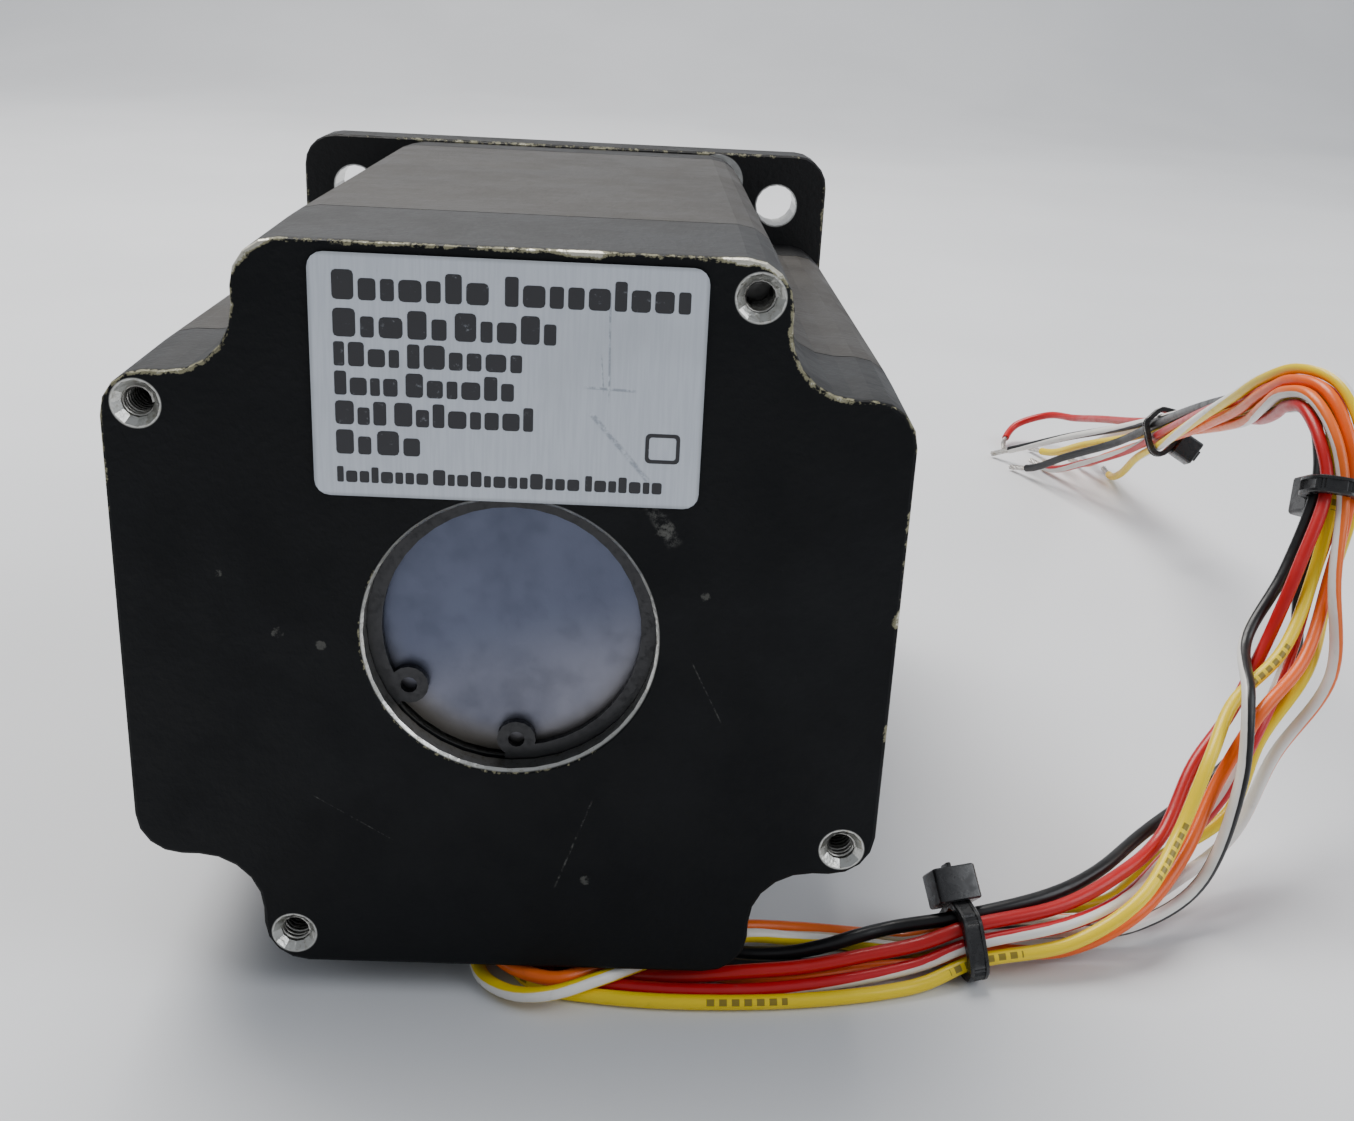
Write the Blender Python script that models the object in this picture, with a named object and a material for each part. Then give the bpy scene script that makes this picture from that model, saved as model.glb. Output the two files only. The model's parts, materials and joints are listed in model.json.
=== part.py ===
"""Square hybrid stepper motor with eight free lead wires, lying on a surface.

The motor is modelled about its shaft axis: the rear face is the plane y = 0, the shaft points
along +Y and +Z is up.  It is then tipped by TILT, because its rear end lies on its own leads.
Run it with:  blender --background --python part.py
"""
import math

import bmesh
import bpy
from mathutils import Euler, Matrix, Vector

for thing in list(bpy.data.objects):
    bpy.data.objects.remove(thing)

MM = 0.001
GAP = 0.3                      # air between pieces that would touch

# Body, in millimetres from the rear face
HALF = 42.8                    # half width of the body
FLANGE_HALF = 42.9
REAR_HALF = 42.25              # half width at the rear face (casting draft)
ARM = 28.3                     # half width of the arms between the notched corners
CORNER_R = 5.0                 # outer corners of the arms
NOTCH_R = 7.0                  # fillet inside each notch
EDGE_R = 0.45                  # rounded edge of the rear face
SEAM_REAR = 20.5               # rear end bell meets the stator
SEAM_FRONT = 93.5              # stator meets the front end bell
FLANGE_BACK = 104.0
FLANGE_FRONT = 112.0
PILOT_R = 36.5
PILOT_DEEP = 2.0
SHAFT_R = 6.35
SHAFT_OUT = 32.2               # shaft beyond the flange face
FLAT_LONG = 25.0
FLAT_DEEP = 0.7
MOUNT_PITCH = 34.8             # flange holes, from the axis in x and z
MOUNT_HOLE_R = 3.3
TIE_U = 38.4                   # tie screws stand in a pinwheel: (-u, v), (v, u), (u, -v), (-v, -u)
TIE_V = 24.8

# Bearings and the rear bore
BORE_R = 16.0
BEARING_IN = 6.0
BEARING_WIDE = 10.0
REAR_BEARING_Y = 6.8
FRONT_BEARING_Y = 96.0
BALLS = 8
BALL_R = 2.0
BALL_PITCH_R = 11.0

# Electrical parts
CAVITY_R = 36.0
POLES = 8
POLE_WIDE = 7.0
POLE_FACE_R = 21.9
YOKE_R = 35.4
TEETH = 50
ROTOR_R = 21.3

# How it lies: the rear face's lower edge is 4.4 mm up, the flange's lower edge is on the surface
TILT = math.radians(1.87)
REAR_AXIS = Vector((0.0, -71.5, 46.53))

# Leads, in millimetres in the frame of the surface.  start is a lead's own route beside the
# motor, lanes its place (away, left) in the bundle at the first stations, end its loose end.
LEAD_R = 0.9
NEAR_STEP = 3.6                # spacing of a lead's points near the motor, then further out
FAR_STEP = 5.4
NEAR_LONG = 45.0
LAY = 0.93                     # centre height of a lead that lies on the surface
EXIT_Y = -56.5
EXIT_TOP = 6.3
SPINE = [
    (56.3, -64.3, 4.6), (68.5, -61.5, 5.5), (76.7, -57.8, 7.7), (84.5, -51, 11), (93, -45, 16),
    (99.5, -39.5, 21.5), (105.5, -33.5, 29.5), (109.5, -26.5, 39), (112.5, -20.5, 50),
    (113.2, -17, 56.5), (112.5, -11.5, 61), (111.5, -5, 61), (111.5, 3, 58),
    (113, 15, 53), (116, 34, 46), (119.5, 57, 37), (123.5, 81, 27.5),
]
TIE_1 = 0                      # stations of the spine that carry a cable tie
TIE_2 = 8
TIE_3 = 16
LOOSE = 0.35                   # how much the bundle swells halfway between the first two ties
TWIST = -1.5 * math.pi       # the bundle's twist from the second tie to the third
LEADS = {
    "yellow": dict(
        exit_x=0.0, colour=(0.85, 0.72, 0.02),
        start=[(0, -60.5, LAY), (0.1, -65.5, LAY), (1.5, -69.8, LAY), (5, -72.4, LAY),
               (10, -73.4, LAY), (18, -74.1, LAY), (28, -73.9, LAY), (36, -73.1, LAY),
               (44, -71.6, LAY), (50.5, -69.7, 1.1)],
        lanes=[(-3.0, -1.86), (-3.4, -0.9), (-3.3, 0.4), (-2.0, 1.3), (-0.5, 4.6), (1.2, 4.6),
               (0.4, 2.6), (-0.2, 1.6), (0, 1.1)],
        end=[(124.7, 104, 18.9), (121.5, 125, 10.2), (118.5, 140, 3.2), (115.5, 150, LAY)]),
    "red_white": dict(
        exit_x=2.2, colour=(0.65, 0.05, 0.05),
        start=[(2.2, -60.5, LAY), (2.3, -64.5, LAY), (3.8, -68.2, LAY), (7, -70.3, LAY),
               (12, -71.3, LAY), (20, -72.0, LAY), (28, -71.8, LAY), (36, -70.8, 1.2),
               (44, -69.3, 1.8), (50.5, -67.7, 2.6)],
        lanes=[(-1.92, 0), (-2.0, 0.6), (-0.9, -0.9), (0.1, -2.6), (-0.3, -1.4), (-0.6, 1.1),
               (1.0, -0.4), (0.9, -0.6), (0, -1.1)],
        end=[(124, 102, 16.3), (120, 120, 7), (116.5, 131, 1.8), (113.5, 140, LAY)]),
    "red": dict(
        exit_x=4.4, colour=(0.6, 0.02, 0.02),
        start=[(4.4, -60.5, LAY), (4.6, -63.6, LAY), (6.3, -66.7, LAY), (9.5, -68.3, LAY),
               (14, -69.2, LAY), (20, -69.9, 1.3), (28, -70.3, 2.6), (36, -69.3, 2.9),
               (44, -67.6, 3.7), (50.5, -66.3, 4.6)],
        lanes=[(-0.85, 1.86), (-0.5, 2.0), (0.1, 1.3), (0.2, 0.2), (2.2, 2.0), (2.4, 2.2),
               (2.7, 2.4), (0.6, 4.2), (0, 3.3)],
        end=[(126, 105, 22.5), (125.5, 128, 16), (124.5, 145, 11), (120.5, 156.5, 8),
             (113.5, 158.5, 4.5), (109.3, 152.5, 1.6), (108.6, 148.5, LAY)]),
    "orange": dict(
        exit_x=6.6, colour=(0.8, 0.2, 0.02),
        start=[(6.7, -60.5, LAY), (7.6, -62.9, LAY), (10, -64.9, LAY), (13.5, -66.3, LAY),
               (20, -67.7, LAY), (28, -69.1, LAY), (36, -68.8, LAY), (44, -66.8, LAY),
               (50.5, -65.9, 1.2)],
        lanes=[(-0.85, -1.86), (-2.1, -2.75), (-2.6, -2.0), (-2.2, -1.2), (-0.4, 0.9),
               (-1.2, 3.4), (-1.4, 1.0), (-1.3, -0.4), (-1.9, 0)],
        end=[(127.3, 103, 17.6), (126.5, 121, 9), (125.5, 134, 2.6), (124, 142, LAY)]),
    "black_white": dict(
        exit_x=8.8, colour=(0.03, 0.03, 0.03),
        start=[(11.5, -59.5, LAY), (15.5, -61.9, LAY), (20, -64.2, LAY), (28, -66.9, LAY),
               (36, -66.6, LAY), (44, -65.0, 1.6), (50.5, -64.6, 2.9)],
        lanes=[(0.22, 0), (0.2, -1.9), (-1.5, -4.2), (-3.6, -4.2), (-3.2, 1.9), (-1.2, 6.4),
               (4.2, 3.9), (3.2, 2.2), (1.9, 2.2)],
        end=[(121.8, 103, 21.3), (116.5, 122, 13), (110, 136, 5.6), (104.5, 144, LAY)]),
    "black": dict(
        exit_x=11.0, colour=(0.02, 0.02, 0.02),
        start=[(14.2, -58.9, LAY), (17.8, -60.6, LAY), (22, -62.6, LAY), (28, -64.3, LAY),
               (34, -64.9, 1.5), (39, -65.0, 2.9), (43, -64.2, 3.9), (47.5, -62.9, 4.4)],
        lanes=[(1.3, 1.86), (1.5, 2.2), (2.4, 0.9), (2.6, -0.6), (3.0, -2.6), (2.8, -3.9),
               (1.8, -3.6), (2.8, -1.8), (1.9, 0)],
        end=[(121, 102, 18), (115, 117, 9.5), (110.5, 127, 3.2), (107, 134, LAY)]),
    "yellow_white": dict(
        exit_x=-4.4, colour=(0.85, 0.72, 0.1),
        start=[(-4.4, -60.5, LAY), (-4.4, -66, LAY), (-3, -70.6, LAY), (0.8, -74.2, 1.6),
               (5.2, -75.4, 2.6), (10.5, -73.1, 2.9), (16, -69.7, 2.9), (22, -66.3, 2.9),
               (28.5, -63.2, 2.65), (36, -61.7, 1.3), (43, -61.8, LAY), (50, -62.7, LAY)],
        lanes=[(1.35, -1.92), (2.9, -0.7), (1.6, -2.6), (1.8, -4.0), (-0.2, -4.2), (0.2, -1.6),
               (-0.9, -1.6), (-0.3, -2.8), (-1.9, -2.2)],
        end=[(126.8, 102, 14.8), (129, 117, 6), (130.5, 128, 1.6), (131, 136, LAY)]),
    "orange_white": dict(
        exit_x=-2.2, colour=(0.8, 0.3, 0.08),
        start=[(-2.2, -60.5, LAY), (-2.2, -64.6, 1.2), (-1.2, -68.8, 2.4), (1.8, -71.8, 2.9),
               (6, -73.0, 2.9), (10, -70.9, 2.9), (15.2, -67.6, 2.9), (21.2, -64.2, 2.9),
               (28, -61.1, 2.4), (36, -59.5, 1.3), (43, -59.6, LAY), (49.5, -60.3, LAY)],
        lanes=[(3.5, -1.86), (3.8, -2.9), (1.4, -5.0), (-0.6, -5.4), (-0.3, -7.0), (-0.6, -4.2),
               (-3.3, -2.4), (-2.9, 1.6), (-1.9, 2.2)],
        end=[(127.3, 104, 21), (128.5, 126, 12.5), (128.5, 143, 4.6), (127.5, 153, LAY)]),
}


# ---------------------------------------------------------------- curves

def smooth_line(points, per_span=14):
    """A centripetal Catmull-Rom curve through the points."""
    p = [Vector(q) for q in points]
    p = [2 * p[0] - p[1]] + p + [2 * p[-1] - p[-2]]
    line = [p[1]]
    for a, b, c, d in zip(p, p[1:], p[2:], p[3:]):
        t1 = (b - a).length ** 0.5
        t2 = t1 + (c - b).length ** 0.5
        t3 = t2 + (d - c).length ** 0.5
        for k in range(1, per_span + 1):
            t = t1 + (t2 - t1) * k / per_span
            ab = a.lerp(b, t / t1)
            bc = b.lerp(c, (t - t1) / (t2 - t1))
            cd = c.lerp(d, (t - t2) / (t3 - t2))
            abc = ab.lerp(bc, t / t2)
            bcd = bc.lerp(cd, (t - t1) / (t3 - t1))
            line.append(abc.lerp(bcd, (t - t1) / (t2 - t1)))
    return line


def spaced(line):
    """Points along a line, none below LAY: NEAR_STEP apart at first, then FAR_STEP apart."""
    out = [line[0]]
    run = 0.0
    due = NEAR_STEP
    line = [Vector((p.x, p.y, max(p.z, LAY))) for p in line]
    for a, b in zip(line, line[1:]):
        span = (b - a).length
        while run + span >= due:
            out.append(a.lerp(b, (due - run) / span))
            due += NEAR_STEP if due < NEAR_LONG else FAR_STEP
        run += span
    if (line[-1] - out[-1]).length < FAR_STEP / 2:
        out.pop()
    out.append(line[-1])
    return out


def bundle_frames():
    """At each station of the spine: its place, and the two directions across the bundle."""
    spine = [Vector(q) for q in SPINE]
    frames = []
    away = None
    for i, spot in enumerate(spine):
        along = (spine[min(i + 1, len(spine) - 1)] - spine[max(i - 1, 0)]).normalized()
        if away is None:
            away = Vector((0, 0, 1)).cross(along)
        away = (away - away.dot(along) * along).normalized()
        frames.append((spot, away.copy(), along.cross(away)))
    return frames


def lead_points(lead, frames):
    """A lead's own points: out of the motor, along the bundle, then to its loose end."""
    exit_point = Vector((lead["exit_x"], EXIT_Y, EXIT_TOP))
    knee = Vector((lead["exit_x"], EXIT_Y, 5.0))
    half_way = knee.lerp(Vector(lead["start"][0]), 0.293)
    half_way.z = 2.12
    points = [exit_point, knee, half_way] + [Vector(q) for q in lead["start"]]
    for station, (n, b) in enumerate(lead["lanes"]):
        spot, away, left = frames[station]
        swell = 1 + LOOSE * math.sin(math.pi * station / TIE_2)
        points.append(spot + swell * (n * away + b * left))
    n, b = lead["lanes"][-1]
    for station in range(TIE_2 + 1, TIE_3 + 1):
        spot, away, left = frames[station]
        angle = TWIST * (station - TIE_2) / (TIE_3 - TIE_2)
        back = n * math.cos(angle) - b * math.sin(angle)
        side = n * math.sin(angle) + b * math.cos(angle)
        points.append(spot + back * away + side * left)
    return points + [Vector(q) for q in lead["end"]]


# ---------------------------------------------------------------- shapes

def finish(name, colour, rough=0.5, metal=0.0):
    """A plain material in the piece's own colour."""
    material = bpy.data.materials.new(name)
    material.use_nodes = True
    shader = material.node_tree.nodes["Principled BSDF"]
    shader.inputs["Base Color"].default_value = (*colour, 1.0)
    shader.inputs["Roughness"].default_value = rough
    shader.inputs["Metallic"].default_value = metal
    return material


def place(name, bm, material, parent, smooth_angle=30):
    """Make a named object of a mesh in millimetres about the shaft axis."""
    bmesh.ops.recalc_face_normals(bm, faces=bm.faces)
    bmesh.ops.scale(bm, vec=(MM, MM, MM), verts=bm.verts)
    mesh = bpy.data.meshes.new(name)
    bm.to_mesh(mesh)
    bm.free()
    mesh.shade_smooth()
    mesh.set_sharp_from_angle(angle=math.radians(smooth_angle))
    mesh.materials.append(material)
    piece = bpy.data.objects.new(name, mesh)
    bpy.context.collection.objects.link(piece)
    piece.parent = parent
    return piece


def empty(name, parent=None, at=(0, 0, 0), turn=(0, 0, 0)):
    """An empty that pieces hang from."""
    holder = bpy.data.objects.new(name, None)
    bpy.context.collection.objects.link(holder)
    holder.parent = parent
    holder.location = at
    holder.rotation_euler = turn
    return holder


def circle(r, count, x=0.0, z=0.0, start=0.0):
    """Points of a circle in the x-z plane."""
    return [(x + r * math.cos(start + math.tau * k / count),
             z + r * math.sin(start + math.tau * k / count)) for k in range(count)]


def arc(x, z, r, first, last, steps):
    """Points of an arc in the x-z plane, angles in degrees."""
    out = []
    for k in range(steps + 1):
        angle = math.radians(first + (last - first) * k / steps)
        out.append((x + r * math.cos(angle), z + r * math.sin(angle)))
    return out


def quarter_turns(points):
    """The points of one quarter, repeated round all four."""
    out = []
    for k in range(4):
        c, s = round(math.cos(k * math.pi / 2)), round(math.sin(k * math.pi / 2))
        out += [(x * c - z * s, x * s + z * c) for x, z in points]
    return out


def cross_outline(half, arm=ARM, corner=CORNER_R, steps=4):
    """The square with notched corners: one quarter from the right arm to the top arm."""
    notch = NOTCH_R + (ARM - arm)
    quarter = arc(half - corner, arm - corner, corner, 0, 90, steps)
    quarter += arc(arm + notch, arm + notch, notch, 270, 180, steps + 1)
    quarter += arc(arm - corner, half - corner, corner, 0, 90, steps)
    return quarter_turns(quarter)


def square_outline(half, corner, steps=5):
    """A square with round corners."""
    return quarter_turns(arc(half - corner, half - corner, corner, 0, 90, steps))


def slot_outline(x, y, wide, deep, r, steps=4):
    """A rectangle with round corners, about (x, y)."""
    out = []
    for sx, sy, first in ((1, 1, 0), (-1, 1, 90), (-1, -1, 180), (1, -1, 270)):
        out += arc(x + sx * (wide / 2 - r), y + sy * (deep / 2 - r), r, first, first + 90, steps)
    return out


def walls(bm, sections, upright=False):
    """Side faces through sections, each a list of (height, outline); returns the end loops.

    Outlines lie in the x-z plane and heights along y, or in the x-y plane with heights
    along z when upright is set.
    """
    loops = []
    for height, outline in sections:
        if upright:
            loops.append([bm.verts.new((a, b, height)) for a, b in outline])
        else:
            loops.append([bm.verts.new((a, height, b)) for a, b in outline])
    for low, high in zip(loops, loops[1:]):
        count = len(low)
        for k in range(count):
            bm.faces.new((low[k], low[(k + 1) % count], high[(k + 1) % count], high[k]))
    return loops[0], loops[-1]


def cap(bm, loops):
    """Fill a flat end between its outer loop and its holes."""
    edges = []
    for loop in loops:
        for a, b in zip(loop, loop[1:] + loop[:1]):
            edges.append(bm.edges.get((a, b)) or bm.edges.new((a, b)))
    first = loops[0]
    level = abs(first[0].co.y - first[len(first) // 3].co.y) < 1e-6
    bmesh.ops.triangle_fill(bm, use_beauty=True, use_dissolve=False, edges=edges,
                            normal=(0, 1, 0) if level else (0, 0, 1))


def block(surfaces, upright=False):
    """A solid between two flat ends; the first surface is outside, the others are holes."""
    bm = bmesh.new()
    ends = [walls(bm, sections, upright) for sections in surfaces]
    cap(bm, [first for first, _ in ends])
    cap(bm, [last for _, last in ends])
    return bm


def turned(profile, count, closed=True):
    """A profile of (radius, y) turned about the shaft axis.

    A closed profile makes a ring; an open one starts and ends on the axis.
    """
    bm = bmesh.new()
    rings = []
    for r, y in profile:
        if r < 1e-6:
            rings.append([bm.verts.new((0, y, 0))])
        else:
            rings.append([bm.verts.new((x, y, z)) for x, z in circle(r, count)])
    pairs = list(zip(rings, rings[1:]))
    if closed:
        pairs.append((rings[-1], rings[0]))
    for one, two in pairs:
        for k in range(count):
            j = (k + 1) % count
            corners = [one[0]] if len(one) == 1 else [one[k], one[j]]
            corners += [two[0]] if len(two) == 1 else [two[j], two[k]]
            bm.faces.new(corners)
    return bm


def cut(piece, cutter, operation="DIFFERENCE"):
    """Cut one piece with another, or join them, by a Boolean modifier."""
    cutter.hide_render = True
    cutter.display_type = "WIRE"
    modifier = piece.modifiers.new("cut", "BOOLEAN")
    modifier.operation = operation
    modifier.solver = "EXACT"
    modifier.object = cutter


def tie_places():
    """The pinwheel of four tie screws, as (x, z)."""
    return [(-TIE_U, TIE_V), (TIE_V, TIE_U), (TIE_U, -TIE_V), (-TIE_V, -TIE_U)]


# ---------------------------------------------------------------- the motor's body

def rear_bell(parent):
    """Rear end bell: notched casting with a stepped bore, tapped holes and a lead opening."""
    outside = [(depth, cross_outline(REAR_HALF - inset, ARM - inset, CORNER_R - inset))
               for depth, inset in ((0.0, EDGE_R), (0.3 * EDGE_R, 0.3 * EDGE_R), (EDGE_R, 0.0))]
    outside.append((SEAM_REAR, cross_outline(HALF)))
    groove = BORE_R + 1.2
    boss = BORE_R + 3.5
    inside = [(0.0, BORE_R + 0.5), (0.5, BORE_R), (2.6, BORE_R), (2.6, groove),
              (4.0, groove), (4.0, BORE_R), (17.2, BORE_R), (17.2, boss), (9.0, boss),
              (9.0, CAVITY_R), (SEAM_REAR, CAVITY_R)]
    surfaces = [outside, [(y, circle(r, 36)) for y, r in inside]]
    for x, z in tie_places():
        hole = [(0.0, 2.5), (0.8, 1.7), (7.5, 1.7), (7.5, 2.3), (SEAM_REAR, 2.3)]
        surfaces.append([(y, circle(r, 12, x, z)) for y, r in hole])
    bell = place("rear_bell", block(surfaces), BLACK, parent)
    opening = slot_outline(3.3, 15.5, 20.8, 6.0, 2.0)
    cutter = block([[(-46.0, opening), (-33.0, opening)]], upright=True)
    cut(bell, place("lead_opening", cutter, BLACK, parent))


def stator_stack(parent):
    """Laminated stator: notched outside, eight poles inside, four screw holes."""
    pole_back = math.sqrt(YOKE_R ** 2 - (POLE_WIDE / 2) ** 2)
    shoe_half = math.radians(17)
    inner = []
    for k in range(POLES):
        middle = math.tau * k / POLES
        c, s = math.cos(middle), math.sin(middle)
        profile = [(pole_back, -POLE_WIDE / 2), (POLE_FACE_R + 2.4, -POLE_WIDE / 2),
                   ((POLE_FACE_R + 1.4) * math.cos(shoe_half),
                    -(POLE_FACE_R + 1.4) * math.sin(shoe_half))]
        face = [(POLE_FACE_R * math.cos(a), POLE_FACE_R * math.sin(a))
                for a in (-shoe_half, -shoe_half / 3, shoe_half / 3, shoe_half)]
        profile += face + [(a, -b) for a, b in reversed(profile)]
        inner += [(a * c - b * s, a * s + b * c) for a, b in profile]
        for between in (0.35, 0.65):
            angle = middle + math.tau / POLES * between
            inner.append((YOKE_R * math.cos(angle), YOKE_R * math.sin(angle)))
    ends = (SEAM_REAR + GAP, SEAM_FRONT - GAP)
    surfaces = [[(y, cross_outline(HALF)) for y in ends], [(y, inner) for y in ends]]
    for x, z in tie_places():
        surfaces.append([(y, circle(2.3, 10, x, z)) for y in ends])
    place("stator_stack", block(surfaces), BLACK, parent)


def front_bell(parent):
    """Front end bell: notched rear part, square flange, pilot, bearing seat and cavity."""
    seat_y = FRONT_BEARING_Y - 0.8
    floor_y = FRONT_BEARING_Y + BEARING_WIDE + 1.0
    inside = [(SEAM_FRONT, CAVITY_R), (98.5, CAVITY_R), (98.5, BORE_R + 3.5),
              (seat_y, BORE_R + 3.5), (seat_y, BORE_R), (floor_y, BORE_R),
              (floor_y, SHAFT_R + 0.6), (FLANGE_FRONT + PILOT_DEEP, SHAFT_R + 0.6)]
    bm = bmesh.new()
    hole_places = [(sx * MOUNT_PITCH, sz * MOUNT_PITCH) for sx in (1, -1) for sz in (1, -1)]
    back_outer, step_outer = walls(bm, [(SEAM_FRONT, cross_outline(HALF)),
                                        (FLANGE_BACK, cross_outline(HALF - 0.4))])
    inner_back, inner_front = walls(bm, [(y, circle(r, 36)) for y, r in inside])
    screws = [walls(bm, [(SEAM_FRONT, circle(2.3, 10, x, z)), (107.6, circle(2.3, 10, x, z)),
                         (107.6, circle(3.9, 10, x, z)), (FLANGE_FRONT, circle(3.9, 10, x, z))])
              for x, z in tie_places()]
    holes = [walls(bm, [(FLANGE_BACK, circle(MOUNT_HOLE_R, 16, x, z)),
                        (FLANGE_FRONT, circle(MOUNT_HOLE_R, 16, x, z))]) for x, z in hole_places]
    flange_back, flange_front = walls(bm, [
        (FLANGE_BACK, square_outline(FLANGE_HALF - 0.3, CORNER_R - 0.3)),
        (FLANGE_BACK + 0.3, square_outline(FLANGE_HALF, CORNER_R)),
        (FLANGE_FRONT - 0.4, square_outline(FLANGE_HALF, CORNER_R)),
        (FLANGE_FRONT, square_outline(FLANGE_HALF - 0.4, CORNER_R - 0.4))])
    pilot_foot, pilot_end = walls(bm, [
        (FLANGE_FRONT, circle(PILOT_R, 48)), (FLANGE_FRONT + PILOT_DEEP - 0.4, circle(PILOT_R, 48)),
        (FLANGE_FRONT + PILOT_DEEP, circle(PILOT_R - 0.4, 48))])
    cap(bm, [back_outer, inner_back] + [first for first, _ in screws])
    cap(bm, [flange_back, step_outer] + [first for first, _ in holes])
    cap(bm, [flange_front, pilot_foot] + [last for _, last in screws + holes])
    cap(bm, [pilot_end, inner_front])
    place("front_bell", bm, BLACK, parent)


def tie_screws(parent):
    """Four long screws from the flange through the stator into the rear bell."""
    for number, (x, z) in enumerate(tie_places(), 1):
        head_y = 108.0
        bm = bmesh.new()
        first, last = walls(bm, [
            (9.0, circle(2.0, 10, x, z)), (head_y, circle(2.0, 10, x, z)),
            (head_y, circle(3.5, 10, x, z)), (FLANGE_FRONT - 0.2, circle(3.5, 10, x, z))])
        socket_top, socket_floor = walls(bm, [(FLANGE_FRONT - 0.2, circle(1.7, 6, x, z)),
                                              (FLANGE_FRONT - 2.2, circle(1.7, 6, x, z))])
        cap(bm, [first])
        cap(bm, [last, socket_top])
        cap(bm, [socket_floor])
        place(f"tie_screw_{number}", bm, STEEL, parent)


def coils(parent):
    """Eight windings, one round each pole."""
    inner_r, outer_r = 25.3, 34.4
    rear, front = SEAM_REAR + 1.0, SEAM_FRONT - 1.0
    for k in range(POLES):
        half = POLE_WIDE / 2 + 0.7
        wide = 2.6
        reach = 5.0
        hole = slot_outline(0, (rear + front) / 2, 2 * half, front - rear + 2.6, 1.0, 2)
        ring = slot_outline(0, (rear + front) / 2, 2 * (half + wide), front - rear + 2.6 + reach,
                            2.4, 2)
        bm = block([[(inner_r, ring), (outer_r, ring)], [(inner_r, hole), (outer_r, hole)]],
                   upright=True)
        turn = Matrix.Rotation(math.tau * (k + 2) / POLES, 3, "Y")
        bmesh.ops.rotate(bm, verts=bm.verts, matrix=turn)
        place(f"coil_{k + 1}", bm, COPPER, parent)


# ---------------------------------------------------------------- rotor and bearings

def rotor(parent):
    """Shaft with a flat, two toothed cups and the magnet between them."""
    end = FLANGE_FRONT + SHAFT_OUT
    step = SHAFT_R + 1.6
    shaft = turned([(0, 7.0), (BEARING_IN - 0.9, 7.0), (BEARING_IN - 0.5, 7.4),
                    (BEARING_IN - 0.5, 17.4), (step, 17.4), (step, 95.4), (BEARING_IN - 0.1, 95.4),
                    (BEARING_IN - 0.1, 106.4), (SHAFT_R, 106.4), (SHAFT_R, end - 0.6),
                    (SHAFT_R - 0.6, end), (0, end)], 24, closed=False)
    piece = place("rotor_shaft", shaft, STEEL, parent)
    top = SHAFT_R - FLAT_DEEP
    flat = [(-8, top), (8, top), (8, top + 6), (-8, top + 6)]
    cut(piece, place("shaft_flat", block([[(end - FLAT_LONG, flat), (end + 2, flat)]]), STEEL,
                     parent))
    for name, low, high, shift in (("rotor_cup_rear", 24.0, 54.5, 0.0),
                                   ("rotor_cup_front", 59.5, 90.0, 0.5)):
        teeth = []
        for k in range(TEETH):
            for r, a in ((ROTOR_R - 1.1, -0.34), (ROTOR_R, -0.2), (ROTOR_R, 0.2),
                         (ROTOR_R - 1.1, 0.34)):
                angle = math.tau * (k + shift + a) / TEETH
                teeth.append((r * math.cos(angle), r * math.sin(angle)))
        bore = circle(step + GAP, 24)
        place(name, block([[(low, teeth), (high, teeth)], [(low, bore), (high, bore)]]), STEEL,
              parent)
    place("rotor_magnet", turned([(step + GAP, 54.8), (step + GAP, 59.2), (ROTOR_R - 1.6, 59.2),
                                  (ROTOR_R - 1.6, 54.8)], 24), MAGNET, parent)


def bearing(name, y, housing, inner_parent, cage_parent):
    """A ball bearing: outer ring in the housing, inner ring on the shaft, balls in a cage."""
    wide = BEARING_WIDE
    race = BALL_R + 0.35
    outer_in = BALL_PITCH_R + 1.5
    inner_out = BALL_PITCH_R - 1.5
    mid = y + wide / 2

    def groove(side, r):
        out = []
        for k in range(5):
            angle = math.radians(-45 + 22.5 * k)
            out.append((BALL_PITCH_R + side * race * math.cos(angle), mid + race * math.sin(angle)))
        return [(r, y + 0.3)] + out + [(r, y + wide - 0.3)]

    place(f"{name}_outer_ring", turned(groove(1, outer_in) + [(BORE_R - 0.1, y + wide),
                                                              (BORE_R - 0.1, y)], 28), STEEL,
          housing)
    place(f"{name}_inner_ring", turned(groove(-1, inner_out) + [(BEARING_IN + 0.2, y + wide),
                                                                (BEARING_IN + 0.2, y)], 28), STEEL,
          inner_parent)
    cage = place(f"{name}_balls", turned([(BALL_PITCH_R - 0.7, mid - 1.0),
                                          (BALL_PITCH_R - 0.7, mid + 1.0),
                                          (BALL_PITCH_R + 0.7, mid + 1.0),
                                          (BALL_PITCH_R + 0.7, mid - 1.0)], 24), STEEL,
                 cage_parent, smooth_angle=60)
    balls = bmesh.new()
    for k in range(BALLS):
        angle = math.tau * k / BALLS
        spot = Vector((BALL_PITCH_R * math.cos(angle), mid, BALL_PITCH_R * math.sin(angle)))
        bmesh.ops.create_icosphere(balls, subdivisions=1, radius=BALL_R,
                                   matrix=Matrix.Translation(spot))
    cut(cage, place(f"{name}_ball_set", balls, STEEL, cage_parent), "UNION")


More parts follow.
